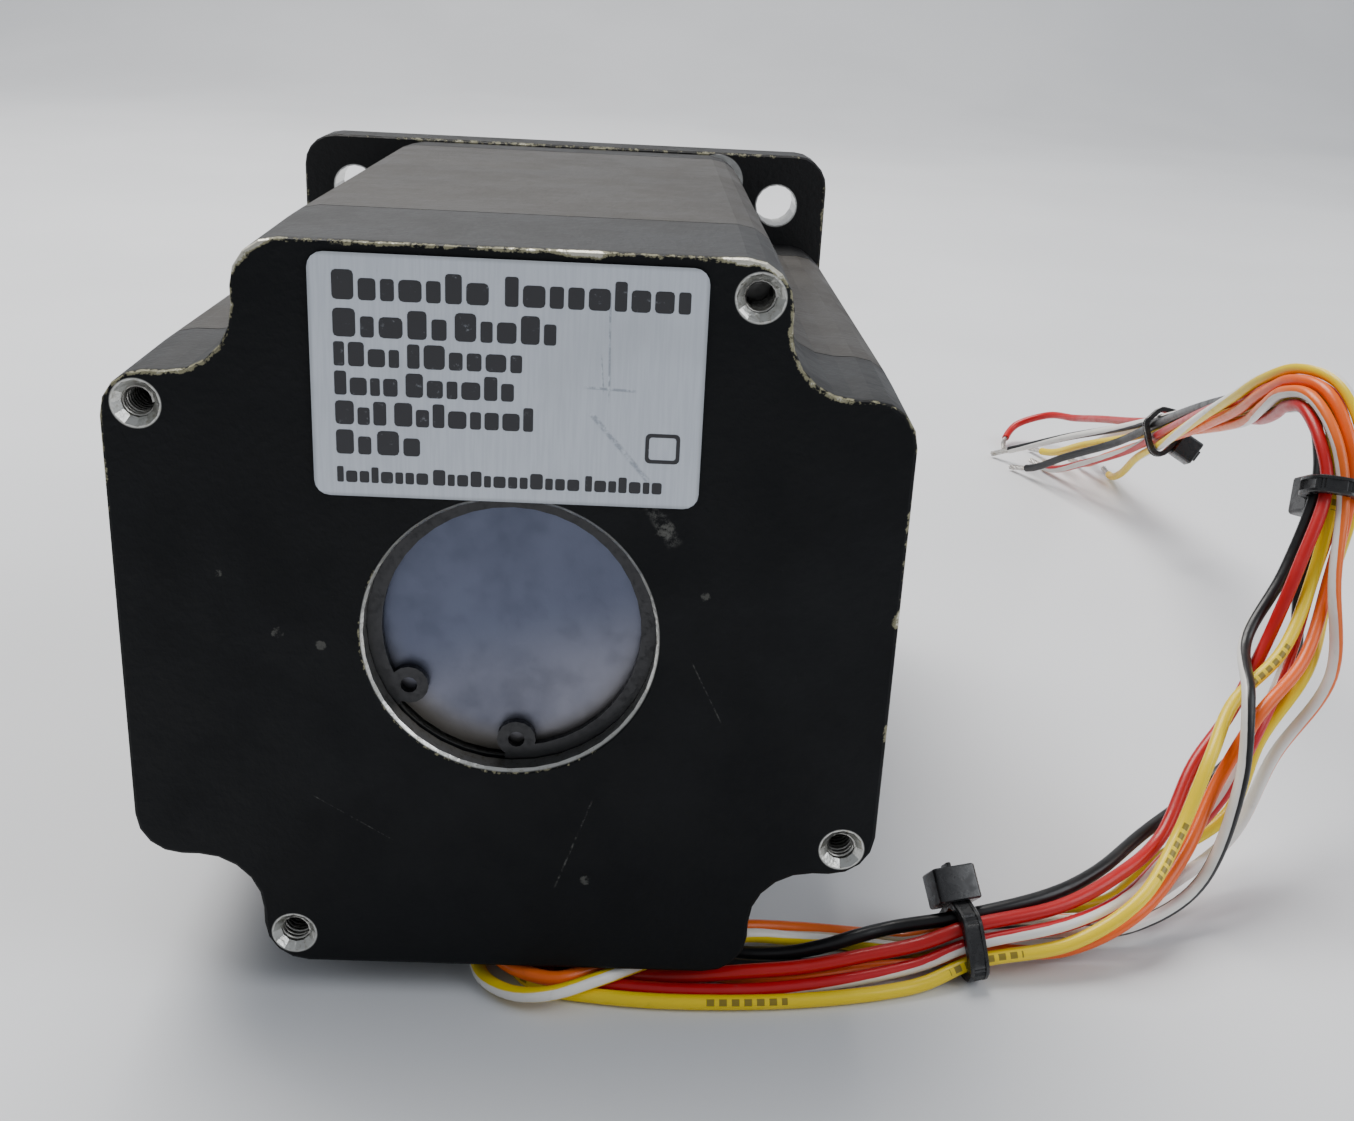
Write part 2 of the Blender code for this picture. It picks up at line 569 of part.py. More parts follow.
def rear_bore_parts(parent):
    """What closes the rear bore: retaining ring with two lugs, cover disc, wave washer."""
    place("rear_cover_disc", turned([(0, 4.2), (BORE_R - GAP, 4.2), (BORE_R - GAP, 5.2), (0, 5.2)],
                                    36, closed=False), STEEL, parent)
    ring_in, ring_out = BORE_R - 1.7, BORE_R + 0.9
    first, last = 267.6, 577.0
    outer = arc(0, 0, ring_out, first, last, 34)
    inner = arc(0, 0, ring_in, last, first, 34)
    ring = place("retaining_ring", block([[(y, outer + inner) for y in (2.8, 3.8)]]), BLACK,
                 parent)
    for number, angle in enumerate((first + 5, last - 5), 1):
        x = (BORE_R - 2.5) * math.cos(math.radians(angle))
        z = (BORE_R - 2.5) * math.sin(math.radians(angle))
        lug = block([[(y, circle(2.2, 16, x, z)) for y in (2.8, 3.8)]])
        cut(ring, place(f"ring_lug_{number}", lug, BLACK, parent), "UNION")
        hole = block([[(y, circle(0.95, 12, x, z)) for y in (2.0, 5.0)]])
        cut(ring, place(f"ring_lug_hole_{number}", hole, BLACK, parent))
    wave = bmesh.new()
    count = 24
    rings = []
    for r, lift in ((11.9, 0.0), (14.2, 0.0), (14.2, 0.35), (11.9, 0.35)):
        rings.append([wave.verts.new((r * math.cos(math.tau * k / count),
                                      5.75 + lift + 0.2 * math.sin(3 * math.tau * k / count),
                                      r * math.sin(math.tau * k / count)))
                      for k in range(count)])
    for one, two in zip(rings, rings[1:] + rings[:1]):
        for k in range(count):
            j = (k + 1) % count
            wave.faces.new((one[k], one[j], two[j], two[k]))
    place("wave_washer", wave, STEEL, parent)


def label(parent):
    """Rating label, standing just off the rear face above the bore."""
    outline = slot_outline(-0.4, 28.55, 40.0, 25.2, 1.6)
    place("label", block([[(-GAP - 0.15, outline), (-GAP, outline)]]), SILVER, parent)


def lead_grommet(parent):
    """Rubber grommet in the lead opening; the leads start at its lower face."""
    outline = slot_outline(3.3, 15.5, 20.8 - 2 * GAP, 6.0 - 2 * GAP, 1.7)
    place("lead_grommet", block([[(-39.2, outline), (-35.6, outline)]], upright=True), RUBBER,
          parent)


# ---------------------------------------------------------------- leads and cable ties

def leads():
    """Eight leads, each a tube along its own route."""
    frames = bundle_frames()
    for name, lead in LEADS.items():
        points = spaced(smooth_line(lead_points(lead, frames)))
        curve = bpy.data.curves.new(f"lead_{name}", "CURVE")
        curve.dimensions = "3D"
        curve.bevel_depth = LEAD_R * MM
        curve.bevel_resolution = 2
        curve.use_fill_caps = True
        spline = curve.splines.new("POLY")
        spline.points.add(len(points) - 1)
        for spot, point in zip(spline.points, points):
            spot.co = (*(point * MM), 1.0)
        curve.materials.append(finish(f"lead_{name}", lead["colour"], 0.3))
        piece = bpy.data.objects.new(f"lead_{name}", curve)
        bpy.context.collection.objects.link(piece)


def hull_outline(points, margin, steps=28):
    """A smooth closed outline that stays at least a margin outside all the points."""
    out = []
    for k in range(steps):
        angle = math.tau * k / steps
        way = (math.cos(angle), math.sin(angle))
        out.append((way, max(x * way[0] + y * way[1] for x, y in points) + margin))
    corners = []
    for (way_a, reach_a), (way_b, reach_b) in zip(out, out[1:] + out[:1]):
        det = way_a[0] * way_b[1] - way_a[1] * way_b[0]
        corners.append(((reach_a * way_b[1] - reach_b * way_a[1]) / det,
                        (way_a[0] * reach_b - way_b[0] * reach_a) / det))
    return corners


def cable_ties():
    """Three nylon ties round the bundle, each a band with its locking head."""
    frames = bundle_frames()
    lines = {name: smooth_line(lead_points(lead, frames)) for name, lead in LEADS.items()}
    for number, (station, head_angle) in enumerate(((TIE_1, 45), (TIE_2, 326), (TIE_3, 258)), 1):
        spot, away, left = frames[station]
        along = away.cross(left)
        section = []
        for line in lines.values():
            near = min(line, key=lambda p: (p - spot).length)
            section.append(((near - spot).dot(away), (near - spot).dot(left)))
        basis = Matrix((away, left, along)).transposed().to_4x4()
        holder = empty(f"tie_{number}_place", None, spot * MM, basis.to_euler())
        inner = hull_outline(section, LEAD_R + 0.65)
        outer = hull_outline(section, LEAD_R + 1.6)
        half = 1.25
        band = block([[(-half, outer), (half, outer)], [(-half, inner), (half, inner)]],
                     upright=True)
        tie = place(f"cable_tie_{number}", band, NYLON, holder)
        way = Vector((math.cos(math.radians(head_angle)), math.sin(math.radians(head_angle)), 0))
        reach = max(x * way.x + y * way.y for x, y in section) + LEAD_R + 0.8
        middle = way * (reach + 2.2)
        head = bmesh.new()
        bmesh.ops.create_cube(head, size=1.0)
        bmesh.ops.scale(head, vec=(4.4, 5.0, 5.6), verts=head.verts)
        bmesh.ops.bevel(head, geom=head.edges[:], offset=0.5, segments=1, affect="EDGES")
        bmesh.ops.rotate(head, verts=head.verts,
                         matrix=Matrix.Rotation(math.radians(head_angle), 3, "Z"))
        bmesh.ops.translate(head, verts=head.verts, vec=middle)
        cut(tie, place(f"tie_{number}_head", head, NYLON, holder), "UNION")


# ---------------------------------------------------------------- assembly

BLACK = finish("black_paint", (0.02, 0.02, 0.02), 0.45)
STEEL = finish("bright_steel", (0.6, 0.6, 0.6), 0.3, 1.0)
SILVER = finish("silver_label", (0.55, 0.57, 0.6), 0.4, 0.3)
COPPER = finish("copper_wire", (0.6, 0.25, 0.1), 0.4, 0.8)
MAGNET = finish("magnet", (0.1, 0.1, 0.1), 0.5, 0.5)
RUBBER = finish("black_rubber", (0.02, 0.02, 0.02), 0.8)
NYLON = finish("black_nylon", (0.015, 0.015, 0.015), 0.4)

motor = empty("motor_axis", None, REAR_AXIS * MM, Euler((-TILT, 0, 0)))
turning = empty("rotor_axis", motor)
rear_cage = empty("rear_cage_axis", motor)
front_cage = empty("front_cage_axis", motor)

rear_bell(motor)
stator_stack(motor)
front_bell(motor)
tie_screws(motor)
coils(motor)
rotor(turning)
bearing("rear_bearing", REAR_BEARING_Y, motor, turning, rear_cage)
bearing("front_bearing", FRONT_BEARING_Y, motor, turning, front_cage)
rear_bore_parts(motor)
label(motor)
lead_grommet(motor)
leads()
cable_ties()
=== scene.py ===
"""Materials, leads, ties and fine detail for the stepper motor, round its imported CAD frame."""
import json
import math

import bmesh
import bpy
from mathutils import Matrix, Vector

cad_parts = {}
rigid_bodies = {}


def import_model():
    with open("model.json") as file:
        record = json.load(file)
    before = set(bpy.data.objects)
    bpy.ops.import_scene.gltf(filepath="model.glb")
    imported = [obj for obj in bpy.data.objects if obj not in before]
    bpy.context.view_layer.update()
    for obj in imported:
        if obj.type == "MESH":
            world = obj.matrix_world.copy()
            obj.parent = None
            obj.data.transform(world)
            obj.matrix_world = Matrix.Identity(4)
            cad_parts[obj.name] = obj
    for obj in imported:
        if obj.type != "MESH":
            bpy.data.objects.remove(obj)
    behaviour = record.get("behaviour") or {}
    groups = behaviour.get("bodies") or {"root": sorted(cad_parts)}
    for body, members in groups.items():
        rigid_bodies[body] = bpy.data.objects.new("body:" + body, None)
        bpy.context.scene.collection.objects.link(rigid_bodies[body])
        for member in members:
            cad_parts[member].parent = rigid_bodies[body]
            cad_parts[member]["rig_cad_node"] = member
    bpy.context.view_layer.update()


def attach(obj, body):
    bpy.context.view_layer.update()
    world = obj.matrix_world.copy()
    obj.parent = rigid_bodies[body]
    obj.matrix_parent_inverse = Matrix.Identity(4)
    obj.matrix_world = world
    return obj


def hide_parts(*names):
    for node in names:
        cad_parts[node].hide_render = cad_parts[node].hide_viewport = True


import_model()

MM = 0.001
TILT = math.radians(1.87)
REAR_AXIS = Vector((0.0, -71.5, 46.53))
MOTOR = Matrix.Translation(REAR_AXIS * MM) @ Matrix.Rotation(-TILT, 4, "X") @ Matrix.Scale(MM, 4)


# ---------------------------------------------------------------- camera, lights and floor

def camera(place, azimuth, elevation, roll, lens):
    """A camera at a place in millimetres, turned azimuth degrees from +Y towards +X."""
    az, el, ro = (math.radians(v) for v in (azimuth, elevation, roll))
    forward = Vector((math.sin(az) * math.cos(el), math.cos(az) * math.cos(el), math.sin(el)))
    level = Vector((math.cos(az), -math.sin(az), 0.0))
    upright = level.cross(forward)
    right = level * math.cos(ro) + upright * math.sin(ro)
    up = upright * math.cos(ro) - level * math.sin(ro)
    turn = Matrix((right, up, -forward)).transposed().to_4x4()
    data = bpy.data.cameras.new("camera")
    data.sensor_width = 36.0
    data.lens = lens
    data.clip_start = 0.01
    data.clip_end = 20.0
    cam = bpy.data.objects.new("camera", data)
    cam.matrix_world = Matrix.Translation(Vector(place) * MM) @ turn
    bpy.context.collection.objects.link(cam)
    bpy.context.scene.camera = cam


def area_light(name, place, aim, size, power, colour=(1, 1, 1)):
    """A soft square light."""
    data = bpy.data.lights.new(name, "AREA")
    data.shape = "SQUARE"
    data.size = size
    data.energy = power
    data.color = colour
    lamp = bpy.data.objects.new(name, data)
    lamp.location = place
    way = Vector(aim) - Vector(place)
    lamp.rotation_mode = "QUATERNION"
    lamp.rotation_quaternion = way.to_track_quat("-Z", "Y")
    bpy.context.collection.objects.link(lamp)


# ---------------------------------------------------------------- node graphs

class Field:
    """A value that varies over a surface, with arithmetic that adds Math nodes."""

    def __init__(self, tree, socket):
        self.tree = tree
        self.socket = socket

    def math(self, operation, *others, clamp=False):
        node = self.tree.nodes.new("ShaderNodeMath")
        node.operation = operation
        node.use_clamp = clamp
        self.tree.links.new(self.socket, node.inputs[0])
        for slot, other in zip(node.inputs[1:], others):
            if isinstance(other, Field):
                self.tree.links.new(other.socket, slot)
            else:
                slot.default_value = other
        return Field(self.tree, node.outputs[0])

    def __add__(self, other):
        return self.math("ADD", other)

    def __sub__(self, other):
        return self.math("SUBTRACT", other)

    def __mul__(self, other):
        return self.math("MULTIPLY", other)

    def __abs__(self):
        return self.math("ABSOLUTE")

    def maximum(self, other):
        return self.math("MAXIMUM", other)

    def minimum(self, other):
        return self.math("MINIMUM", other)

    def fade(self, low, high, to_low=0.0, to_high=1.0):
        """Smoothly from to_low at low to to_high at high."""
        node = self.tree.nodes.new("ShaderNodeMapRange")
        node.interpolation_type = "SMOOTHSTEP"
        self.tree.links.new(self.socket, node.inputs["Value"])
        for key, value in (("From Min", low), ("From Max", high), ("To Min", to_low),
                           ("To Max", to_high)):
            node.inputs[key].default_value = value
        return Field(self.tree, node.outputs["Result"])


class Look:
    """A Principled material being put together."""

    def __init__(self, name, colour, rough=0.5, metal=0.0, **settings):
        self.material = bpy.data.materials.new(name)
        self.material.use_nodes = True
        self.tree = self.material.node_tree
        self.shader = self.tree.nodes["Principled BSDF"]
        self.shader.inputs["Base Color"].default_value = (*colour, 1.0)
        self.shader.inputs["Roughness"].default_value = rough
        self.shader.inputs["Metallic"].default_value = metal
        for key, value in settings.items():
            self.shader.inputs[key.replace("_", " ")].default_value = value
        self.bumps = None

    def motor(self):
        """Position from the centre of the rear face along the motor's own axes, in millimetres."""
        place = self.tree.nodes.new("ShaderNodeTexCoord").outputs["Object"]
        node = self.tree.nodes.new("ShaderNodeMapping")
        node.vector_type = "TEXTURE"
        node.inputs["Location"].default_value = REAR_AXIS * MM
        node.inputs["Rotation"].default_value = (-TILT, 0, 0)
        node.inputs["Scale"].default_value = (MM, MM, MM)
        self.tree.links.new(place, node.inputs["Vector"])
        return Field(self.tree, node.outputs["Vector"])

    def split(self, vector):
        node = self.tree.nodes.new("ShaderNodeSeparateXYZ")
        self.tree.links.new(vector.socket, node.inputs[0])
        return [Field(self.tree, out) for out in node.outputs]

    def noise(self, where, size, detail=3.0, rough=0.5, shift=0.0):
        """Noise with features about size millimetres across."""
        node = self.tree.nodes.new("ShaderNodeTexNoise")
        node.inputs["Scale"].default_value = 1.0 / size
        node.inputs["Detail"].default_value = detail
        node.inputs["Roughness"].default_value = rough
        moved = self.tree.nodes.new("ShaderNodeVectorMath")
        moved.operation = "ADD"
        moved.inputs[1].default_value = (shift, shift * 0.7, -shift)
        self.tree.links.new(where.socket, moved.inputs[0])
        self.tree.links.new(moved.outputs[0], node.inputs["Vector"])
        return Field(self.tree, node.outputs["Fac"])

    def stretch(self, where, x, y, z):
        node = self.tree.nodes.new("ShaderNodeVectorMath")
        node.operation = "MULTIPLY"
        node.inputs[1].default_value = (x, y, z)
        self.tree.links.new(where.socket, node.inputs[0])
        return Field(self.tree, node.outputs[0])

    def paint(self, colour, mask):
        """Lay a colour over what is there, by a mask."""
        node = self.tree.nodes.new("ShaderNodeMix")
        node.data_type = "RGBA"
        base = self.shader.inputs["Base Color"]
        if base.is_linked:
            self.tree.links.new(base.links[0].from_socket, node.inputs["A"])
        else:
            node.inputs["A"].default_value = base.default_value
        node.inputs["B"].default_value = (*colour, 1.0)
        self.tree.links.new(mask.socket, node.inputs["Factor"])
        for out in node.outputs:
            if out.type == "RGBA":
                self.tree.links.new(out, base)

    def lay(self, key, value, mask):
        """Move a shader value towards value where the mask is one."""
        slot = self.shader.inputs[key]
        node = self.tree.nodes.new("ShaderNodeMix")
        if slot.is_linked:
            self.tree.links.new(slot.links[0].from_socket, node.inputs["A"])
        else:
            node.inputs["A"].default_value = slot.default_value
        node.inputs["B"].default_value = value
        self.tree.links.new(mask.socket, node.inputs["Factor"])
        self.tree.links.new(node.outputs["Result"], slot)

    def bump(self, height, depth):
        """Raise the surface by height times depth millimetres."""
        node = self.tree.nodes.new("ShaderNodeBump")
        node.inputs["Strength"].default_value = 1.0
        node.inputs["Distance"].default_value = depth * MM
        self.tree.links.new(height.socket, node.inputs["Height"])
        if self.bumps is not None:
            self.tree.links.new(self.bumps, node.inputs["Normal"])
        self.bumps = node.outputs["Normal"]
        self.tree.links.new(self.bumps, self.shader.inputs["Normal"])


# ---------------------------------------------------------------- shapes

def arc(x, z, r, first, last, steps):
    """Points of an arc, angles in degrees."""
    out = []
    for k in range(steps + 1):
        angle = math.radians(first + (last - first) * k / steps)
        out.append((x + r * math.cos(angle), z + r * math.sin(angle)))
    return out


def slot_outline(x, y, wide, deep, r, steps=5):
    """A rectangle with round corners, about (x, y)."""
    out = []
    for sx, sy, first in ((1, 1, 0), (-1, 1, 90), (-1, -1, 180), (1, -1, 270)):
        out += arc(x + sx * (wide / 2 - r), y + sy * (deep / 2 - r), r, first, first + 90, steps)
    return out


def walls(bm, sections, upright=False):
    """Side faces through sections, each (height, outline); returns the end loops."""
    loops = []
    for height, outline in sections:
        if upright:
            loops.append([bm.verts.new((a, b, height)) for a, b in outline])
        else:
            loops.append([bm.verts.new((a, height, b)) for a, b in outline])
    for low, high in zip(loops, loops[1:]):
        count = len(low)
        for k in range(count):
            bm.faces.new((low[k], low[(k + 1) % count], high[(k + 1) % count], high[k]))
    return loops[0], loops[-1]


def cap(bm, loops):
    """Fill a flat end between its outer loop and its holes."""
    edges = []
    for loop in loops:
        for a, b in zip(loop, loop[1:] + loop[:1]):
            edges.append(bm.edges.get((a, b)) or bm.edges.new((a, b)))
    level = abs(loops[0][0].co.y - loops[0][len(loops[0]) // 3].co.y) < 1e-6
    way = (0, 1, 0) if level else (0, 0, 1)
    bmesh.ops.triangle_fill(bm, use_beauty=True, use_dissolve=False, edges=edges, normal=way)


def block(surfaces, upright=False):
    """A solid between two flat ends; the first surface is outside, the others are holes."""
    bm = bmesh.new()
    ends = [walls(bm, sections, upright) for sections in surfaces]
    cap(bm, [first for first, _ in ends])
    cap(bm, [last for _, last in ends])
    return bm


def piece(name, bm, look, matrix, body, smooth_angle=32):
    """A named mesh piece on a body."""
    bmesh.ops.recalc_face_normals(bm, faces=bm.faces)
    bmesh.ops.transform(bm, matrix=matrix, verts=bm.verts)
    mesh = bpy.data.meshes.new(name)
    bm.to_mesh(mesh)
    bm.free()
    mesh.shade_smooth()
    mesh.set_sharp_from_angle(angle=math.radians(smooth_angle))
    mesh.materials.append(look.material)
    made = bpy.data.objects.new(name, mesh)
    bpy.context.collection.objects.link(made)
    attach(made, body)
    return made


def dress(node, look):
    """Give a CAD node its material."""
    thing = next(o for o in bpy.data.objects if o.get("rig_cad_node") == node)
    if not thing.data.materials:
        thing.data.materials.append(None)
    for slot in thing.material_slots:
        slot.link = "OBJECT"
        slot.material = look.material


# ---------------------------------------------------------------- leads: routes

LEAD_R = 0.9
LAY = 0.93
EXIT_TOP = 6.3
EXIT_Y = -56.5
SPINE = [
    (56.3, -64.3, 4.6), (68.5, -61.5, 5.5), (76.7, -57.8, 7.7), (84.5, -51, 11), (93, -45, 16),
    (99.5, -39.5, 21.5), (105.5, -33.5, 29.5), (109.5, -26.5, 39), (112.5, -20.5, 50),
    (113.2, -17, 56.5), (112.5, -11.5, 61), (111.5, -5, 61), (111.5, 3, 58),
    (113, 15, 53), (116, 34, 46), (119.5, 57, 37), (123.5, 81, 27.5),
]
TIE_1 = 0                      # stations of the spine that carry a cable tie
TIE_2 = 8
TIE_3 = 16
LOOSE = 0.35                   # how much the bundle swells halfway between the first two ties
TWIST = -1.5 * math.pi       # the bundle's twist from the second tie to the third
LEADS = {
    "yellow": dict(
        exit_x=0.0, slot="lead_yellow",
        start=[(0, -60.5, LAY), (0.1, -65.5, LAY), (1.5, -69.8, LAY), (5, -72.4, LAY),
               (10, -73.4, LAY), (18, -74.1, LAY), (28, -73.9, LAY), (36, -73.1, LAY),
               (44, -71.6, LAY), (50.5, -69.7, 1.1)],
        lanes=[(-3.0, -1.86), (-3.4, -0.9), (-3.3, 0.4), (-2.0, 1.3), (-0.5, 4.6), (1.2, 4.6),
               (0.4, 2.6), (-0.2, 1.6), (0, 1.1)],
        end=[(124.7, 104, 18.9), (121.5, 125, 10.2), (118.5, 140, 3.2), (115.5, 150, LAY)]),
    "red_white": dict(
        exit_x=2.2, slot="lead_red",
        start=[(2.2, -60.5, LAY), (2.3, -64.5, LAY), (3.8, -68.2, LAY), (7, -70.3, LAY),
               (12, -71.3, LAY), (20, -72.0, LAY), (28, -71.8, LAY), (36, -70.8, 1.2),
               (44, -69.3, 1.8), (50.5, -67.7, 2.6)],
        lanes=[(-1.92, 0), (-2.0, 0.6), (-0.9, -0.9), (0.1, -2.6), (-0.3, -1.4), (-0.6, 1.1),
               (1.0, -0.4), (0.9, -0.6), (0, -1.1)],
        end=[(124, 102, 16.3), (120, 120, 7), (116.5, 131, 1.8), (113.5, 140, LAY)]),
    "red": dict(
        exit_x=4.4, slot="lead_red",
        start=[(4.4, -60.5, LAY), (4.6, -63.6, LAY), (6.3, -66.7, LAY), (9.5, -68.3, LAY),
               (14, -69.2, LAY), (20, -69.9, 1.3), (28, -70.3, 2.6), (36, -69.3, 2.9),
               (44, -67.6, 3.7), (50.5, -66.3, 4.6)],
        lanes=[(-0.85, 1.86), (-0.5, 2.0), (0.1, 1.3), (0.2, 0.2), (2.2, 2.0), (2.4, 2.2),
               (2.7, 2.4), (0.6, 4.2), (0, 3.3)],
        end=[(126, 105, 22.5), (125.5, 128, 16), (124.5, 145, 11), (120.5, 156.5, 8),
             (113.5, 158.5, 4.5), (109.3, 152.5, 1.6), (108.6, 148.5, LAY)]),
    "orange": dict(
        exit_x=6.6, slot="lead_orange",
        start=[(6.7, -60.5, LAY), (7.6, -62.9, LAY), (10, -64.9, LAY), (13.5, -66.3, LAY),
               (20, -67.7, LAY), (28, -69.1, LAY), (36, -68.8, LAY), (44, -66.8, LAY),
               (50.5, -65.9, 1.2)],
        lanes=[(-0.85, -1.86), (-2.1, -2.75), (-2.6, -2.0), (-2.2, -1.2), (-0.4, 0.9),
               (-1.2, 3.4), (-1.4, 1.0), (-1.3, -0.4), (-1.9, 0)],
        end=[(127.3, 103, 17.6), (126.5, 121, 9), (125.5, 134, 2.6), (124, 142, LAY)]),
    "black_white": dict(
        exit_x=8.8, slot="lead_black",
        start=[(11.5, -59.5, LAY), (15.5, -61.9, LAY), (20, -64.2, LAY), (28, -66.9, LAY),
               (36, -66.6, LAY), (44, -65.0, 1.6), (50.5, -64.6, 2.9)],
        lanes=[(0.22, 0), (0.2, -1.9), (-1.5, -4.2), (-3.6, -4.2), (-3.2, 1.9), (-1.2, 6.4),
               (4.2, 3.9), (3.2, 2.2), (1.9, 2.2)],
        end=[(121.8, 103, 21.3), (116.5, 122, 13), (110, 136, 5.6), (104.5, 144, LAY)]),
    "black": dict(
        exit_x=11.0, slot="lead_black",
        start=[(14.2, -58.9, LAY), (17.8, -60.6, LAY), (22, -62.6, LAY), (28, -64.3, LAY),
               (34, -64.9, 1.5), (39, -65.0, 2.9), (43, -64.2, 3.9), (47.5, -62.9, 4.4)],
        lanes=[(1.3, 1.86), (1.5, 2.2), (2.4, 0.9), (2.6, -0.6), (3.0, -2.6), (2.8, -3.9),
               (1.8, -3.6), (2.8, -1.8), (1.9, 0)],
        end=[(121, 102, 18), (115, 117, 9.5), (110.5, 127, 3.2), (107, 134, LAY)]),
    "yellow_white": dict(
        exit_x=-4.4, slot="lead_yellow",
        start=[(-4.4, -60.5, LAY), (-4.4, -66, LAY), (-3, -70.6, LAY), (0.8, -74.2, 1.6),
               (5.2, -75.4, 2.6), (10.5, -73.1, 2.9), (16, -69.7, 2.9), (22, -66.3, 2.9),
               (28.5, -63.2, 2.65), (36, -61.7, 1.3), (43, -61.8, LAY), (50, -62.7, LAY)],
        lanes=[(1.35, -1.92), (2.9, -0.7), (1.6, -2.6), (1.8, -4.0), (-0.2, -4.2), (0.2, -1.6),
               (-0.9, -1.6), (-0.3, -2.8), (-1.9, -2.2)],
        end=[(126.8, 102, 14.8), (129, 117, 6), (130.5, 128, 1.6), (131, 136, LAY)]),
    "orange_white": dict(
        exit_x=-2.2, slot="lead_orange",
        start=[(-2.2, -60.5, LAY), (-2.2, -64.6, 1.2), (-1.2, -68.8, 2.4), (1.8, -71.8, 2.9),
               (6, -73.0, 2.9), (10, -70.9, 2.9), (15.2, -67.6, 2.9), (21.2, -64.2, 2.9),
               (28, -61.1, 2.4), (36, -59.5, 1.3), (43, -59.6, LAY), (49.5, -60.3, LAY)],
        lanes=[(3.5, -1.86), (3.8, -2.9), (1.4, -5.0), (-0.6, -5.4), (-0.3, -7.0), (-0.6, -4.2),
               (-3.3, -2.4), (-2.9, 1.6), (-1.9, 2.2)],
        end=[(127.3, 104, 21), (128.5, 126, 12.5), (128.5, 143, 4.6), (127.5, 153, LAY)]),
}


# ---------------------------------------------------------------- curves

def smooth_line(points, per_span=14):
    """A centripetal Catmull-Rom curve through the points."""
    p = [Vector(q) for q in points]
    p = [2 * p[0] - p[1]] + p + [2 * p[-1] - p[-2]]
    line = [p[1]]
    for a, b, c, d in zip(p, p[1:], p[2:], p[3:]):
        t1 = (b - a).length ** 0.5
        t2 = t1 + (c - b).length ** 0.5
        t3 = t2 + (d - c).length ** 0.5
        for k in range(1, per_span + 1):
            t = t1 + (t2 - t1) * k / per_span
            ab = a.lerp(b, t / t1)
            bc = b.lerp(c, (t - t1) / (t2 - t1))
            cd = c.lerp(d, (t - t2) / (t3 - t2))
            abc = ab.lerp(bc, t / t2)
            bcd = bc.lerp(cd, (t - t1) / (t3 - t1))
            line.append(abc.lerp(bcd, (t - t1) / (t2 - t1)))
    return line


def bundle_frames():
    """At each station of the spine: its place, and the two directions across the bundle."""
    spine = [Vector(q) for q in SPINE]
    frames = []
    away = None
    for i, spot in enumerate(spine):
        along = (spine[min(i + 1, len(spine) - 1)] - spine[max(i - 1, 0)]).normalized()
        if away is None:
            away = Vector((0, 0, 1)).cross(along)
        away = (away - away.dot(along) * along).normalized()
        frames.append((spot, away.copy(), along.cross(away)))
    return frames


def lead_points(lead, frames):
    """A lead's own points: out of the motor, along the bundle, then to its loose end."""
    exit_point = Vector((lead["exit_x"], EXIT_Y, EXIT_TOP))
    knee = Vector((lead["exit_x"], EXIT_Y, 5.0))
    half_way = knee.lerp(Vector(lead["start"][0]), 0.293)
    half_way.z = 2.12
    points = [exit_point, knee, half_way] + [Vector(q) for q in lead["start"]]
    for station, (n, b) in enumerate(lead["lanes"]):
        spot, away, left = frames[station]
        swell = 1 + LOOSE * math.sin(math.pi * station / TIE_2)
        points.append(spot + swell * (n * away + b * left))
    n, b = lead["lanes"][-1]
    for station in range(TIE_2 + 1, TIE_3 + 1):
        spot, away, left = frames[station]
        angle = TWIST * (station - TIE_2) / (TIE_3 - TIE_2)
        back = n * math.cos(angle) - b * math.sin(angle)
        side = n * math.sin(angle) + b * math.cos(angle)
        points.append(spot + back * away + side * left)
    return points + [Vector(q) for q in lead["end"]]


# ---------------------------------------------------------------- leads: insulation and ends

def tube(line, r, sides=14):
    """A round tube along a line; its UV map holds the length in mm and the turn round it."""
    bm = bmesh.new()
    uv = bm.loops.layers.uv.new("along")
    rings = []
    runs = []
    run = 0.0
    side = None
    last = len(line) - 1
    for i, point in enumerate(line):
        along = (line[min(i + 1, last)] - line[max(i - 1, 0)]).normalized()
        if side is None:
            side = Vector((0, 0, 1)) if abs(along.z) < 0.9 else Vector((1, 0, 0))
        side = (side - side.dot(along) * along).normalized()
        other = along.cross(side)
        if i:
            run += (point - line[i - 1]).length
        runs.append(run)
        ring = []
        for k in range(sides):
            angle = math.tau * k / sides
            reach = side * math.cos(angle) + other * math.sin(angle)
            ring.append(bm.verts.new(point + r * reach))
        rings.append(ring)
    for i in range(last):
        for k in range(sides):
            j = (k + 1) % sides
            face = bm.faces.new((rings[i][k], rings[i][j], rings[i + 1][j], rings[i + 1][k]))
            turns = ((runs[i], k), (runs[i], k + 1), (runs[i + 1], k + 1), (runs[i + 1], k))
            for loop, (u, v) in zip(face.loops, turns):
                loop[uv].uv = (u, v / sides)
    bm.faces.new(list(reversed(rings[0])))
    bm.faces.new(rings[-1])
    return bm


STRIPE_WINDS = 0.0055          # turns of a stripe round its lead, per millimetre


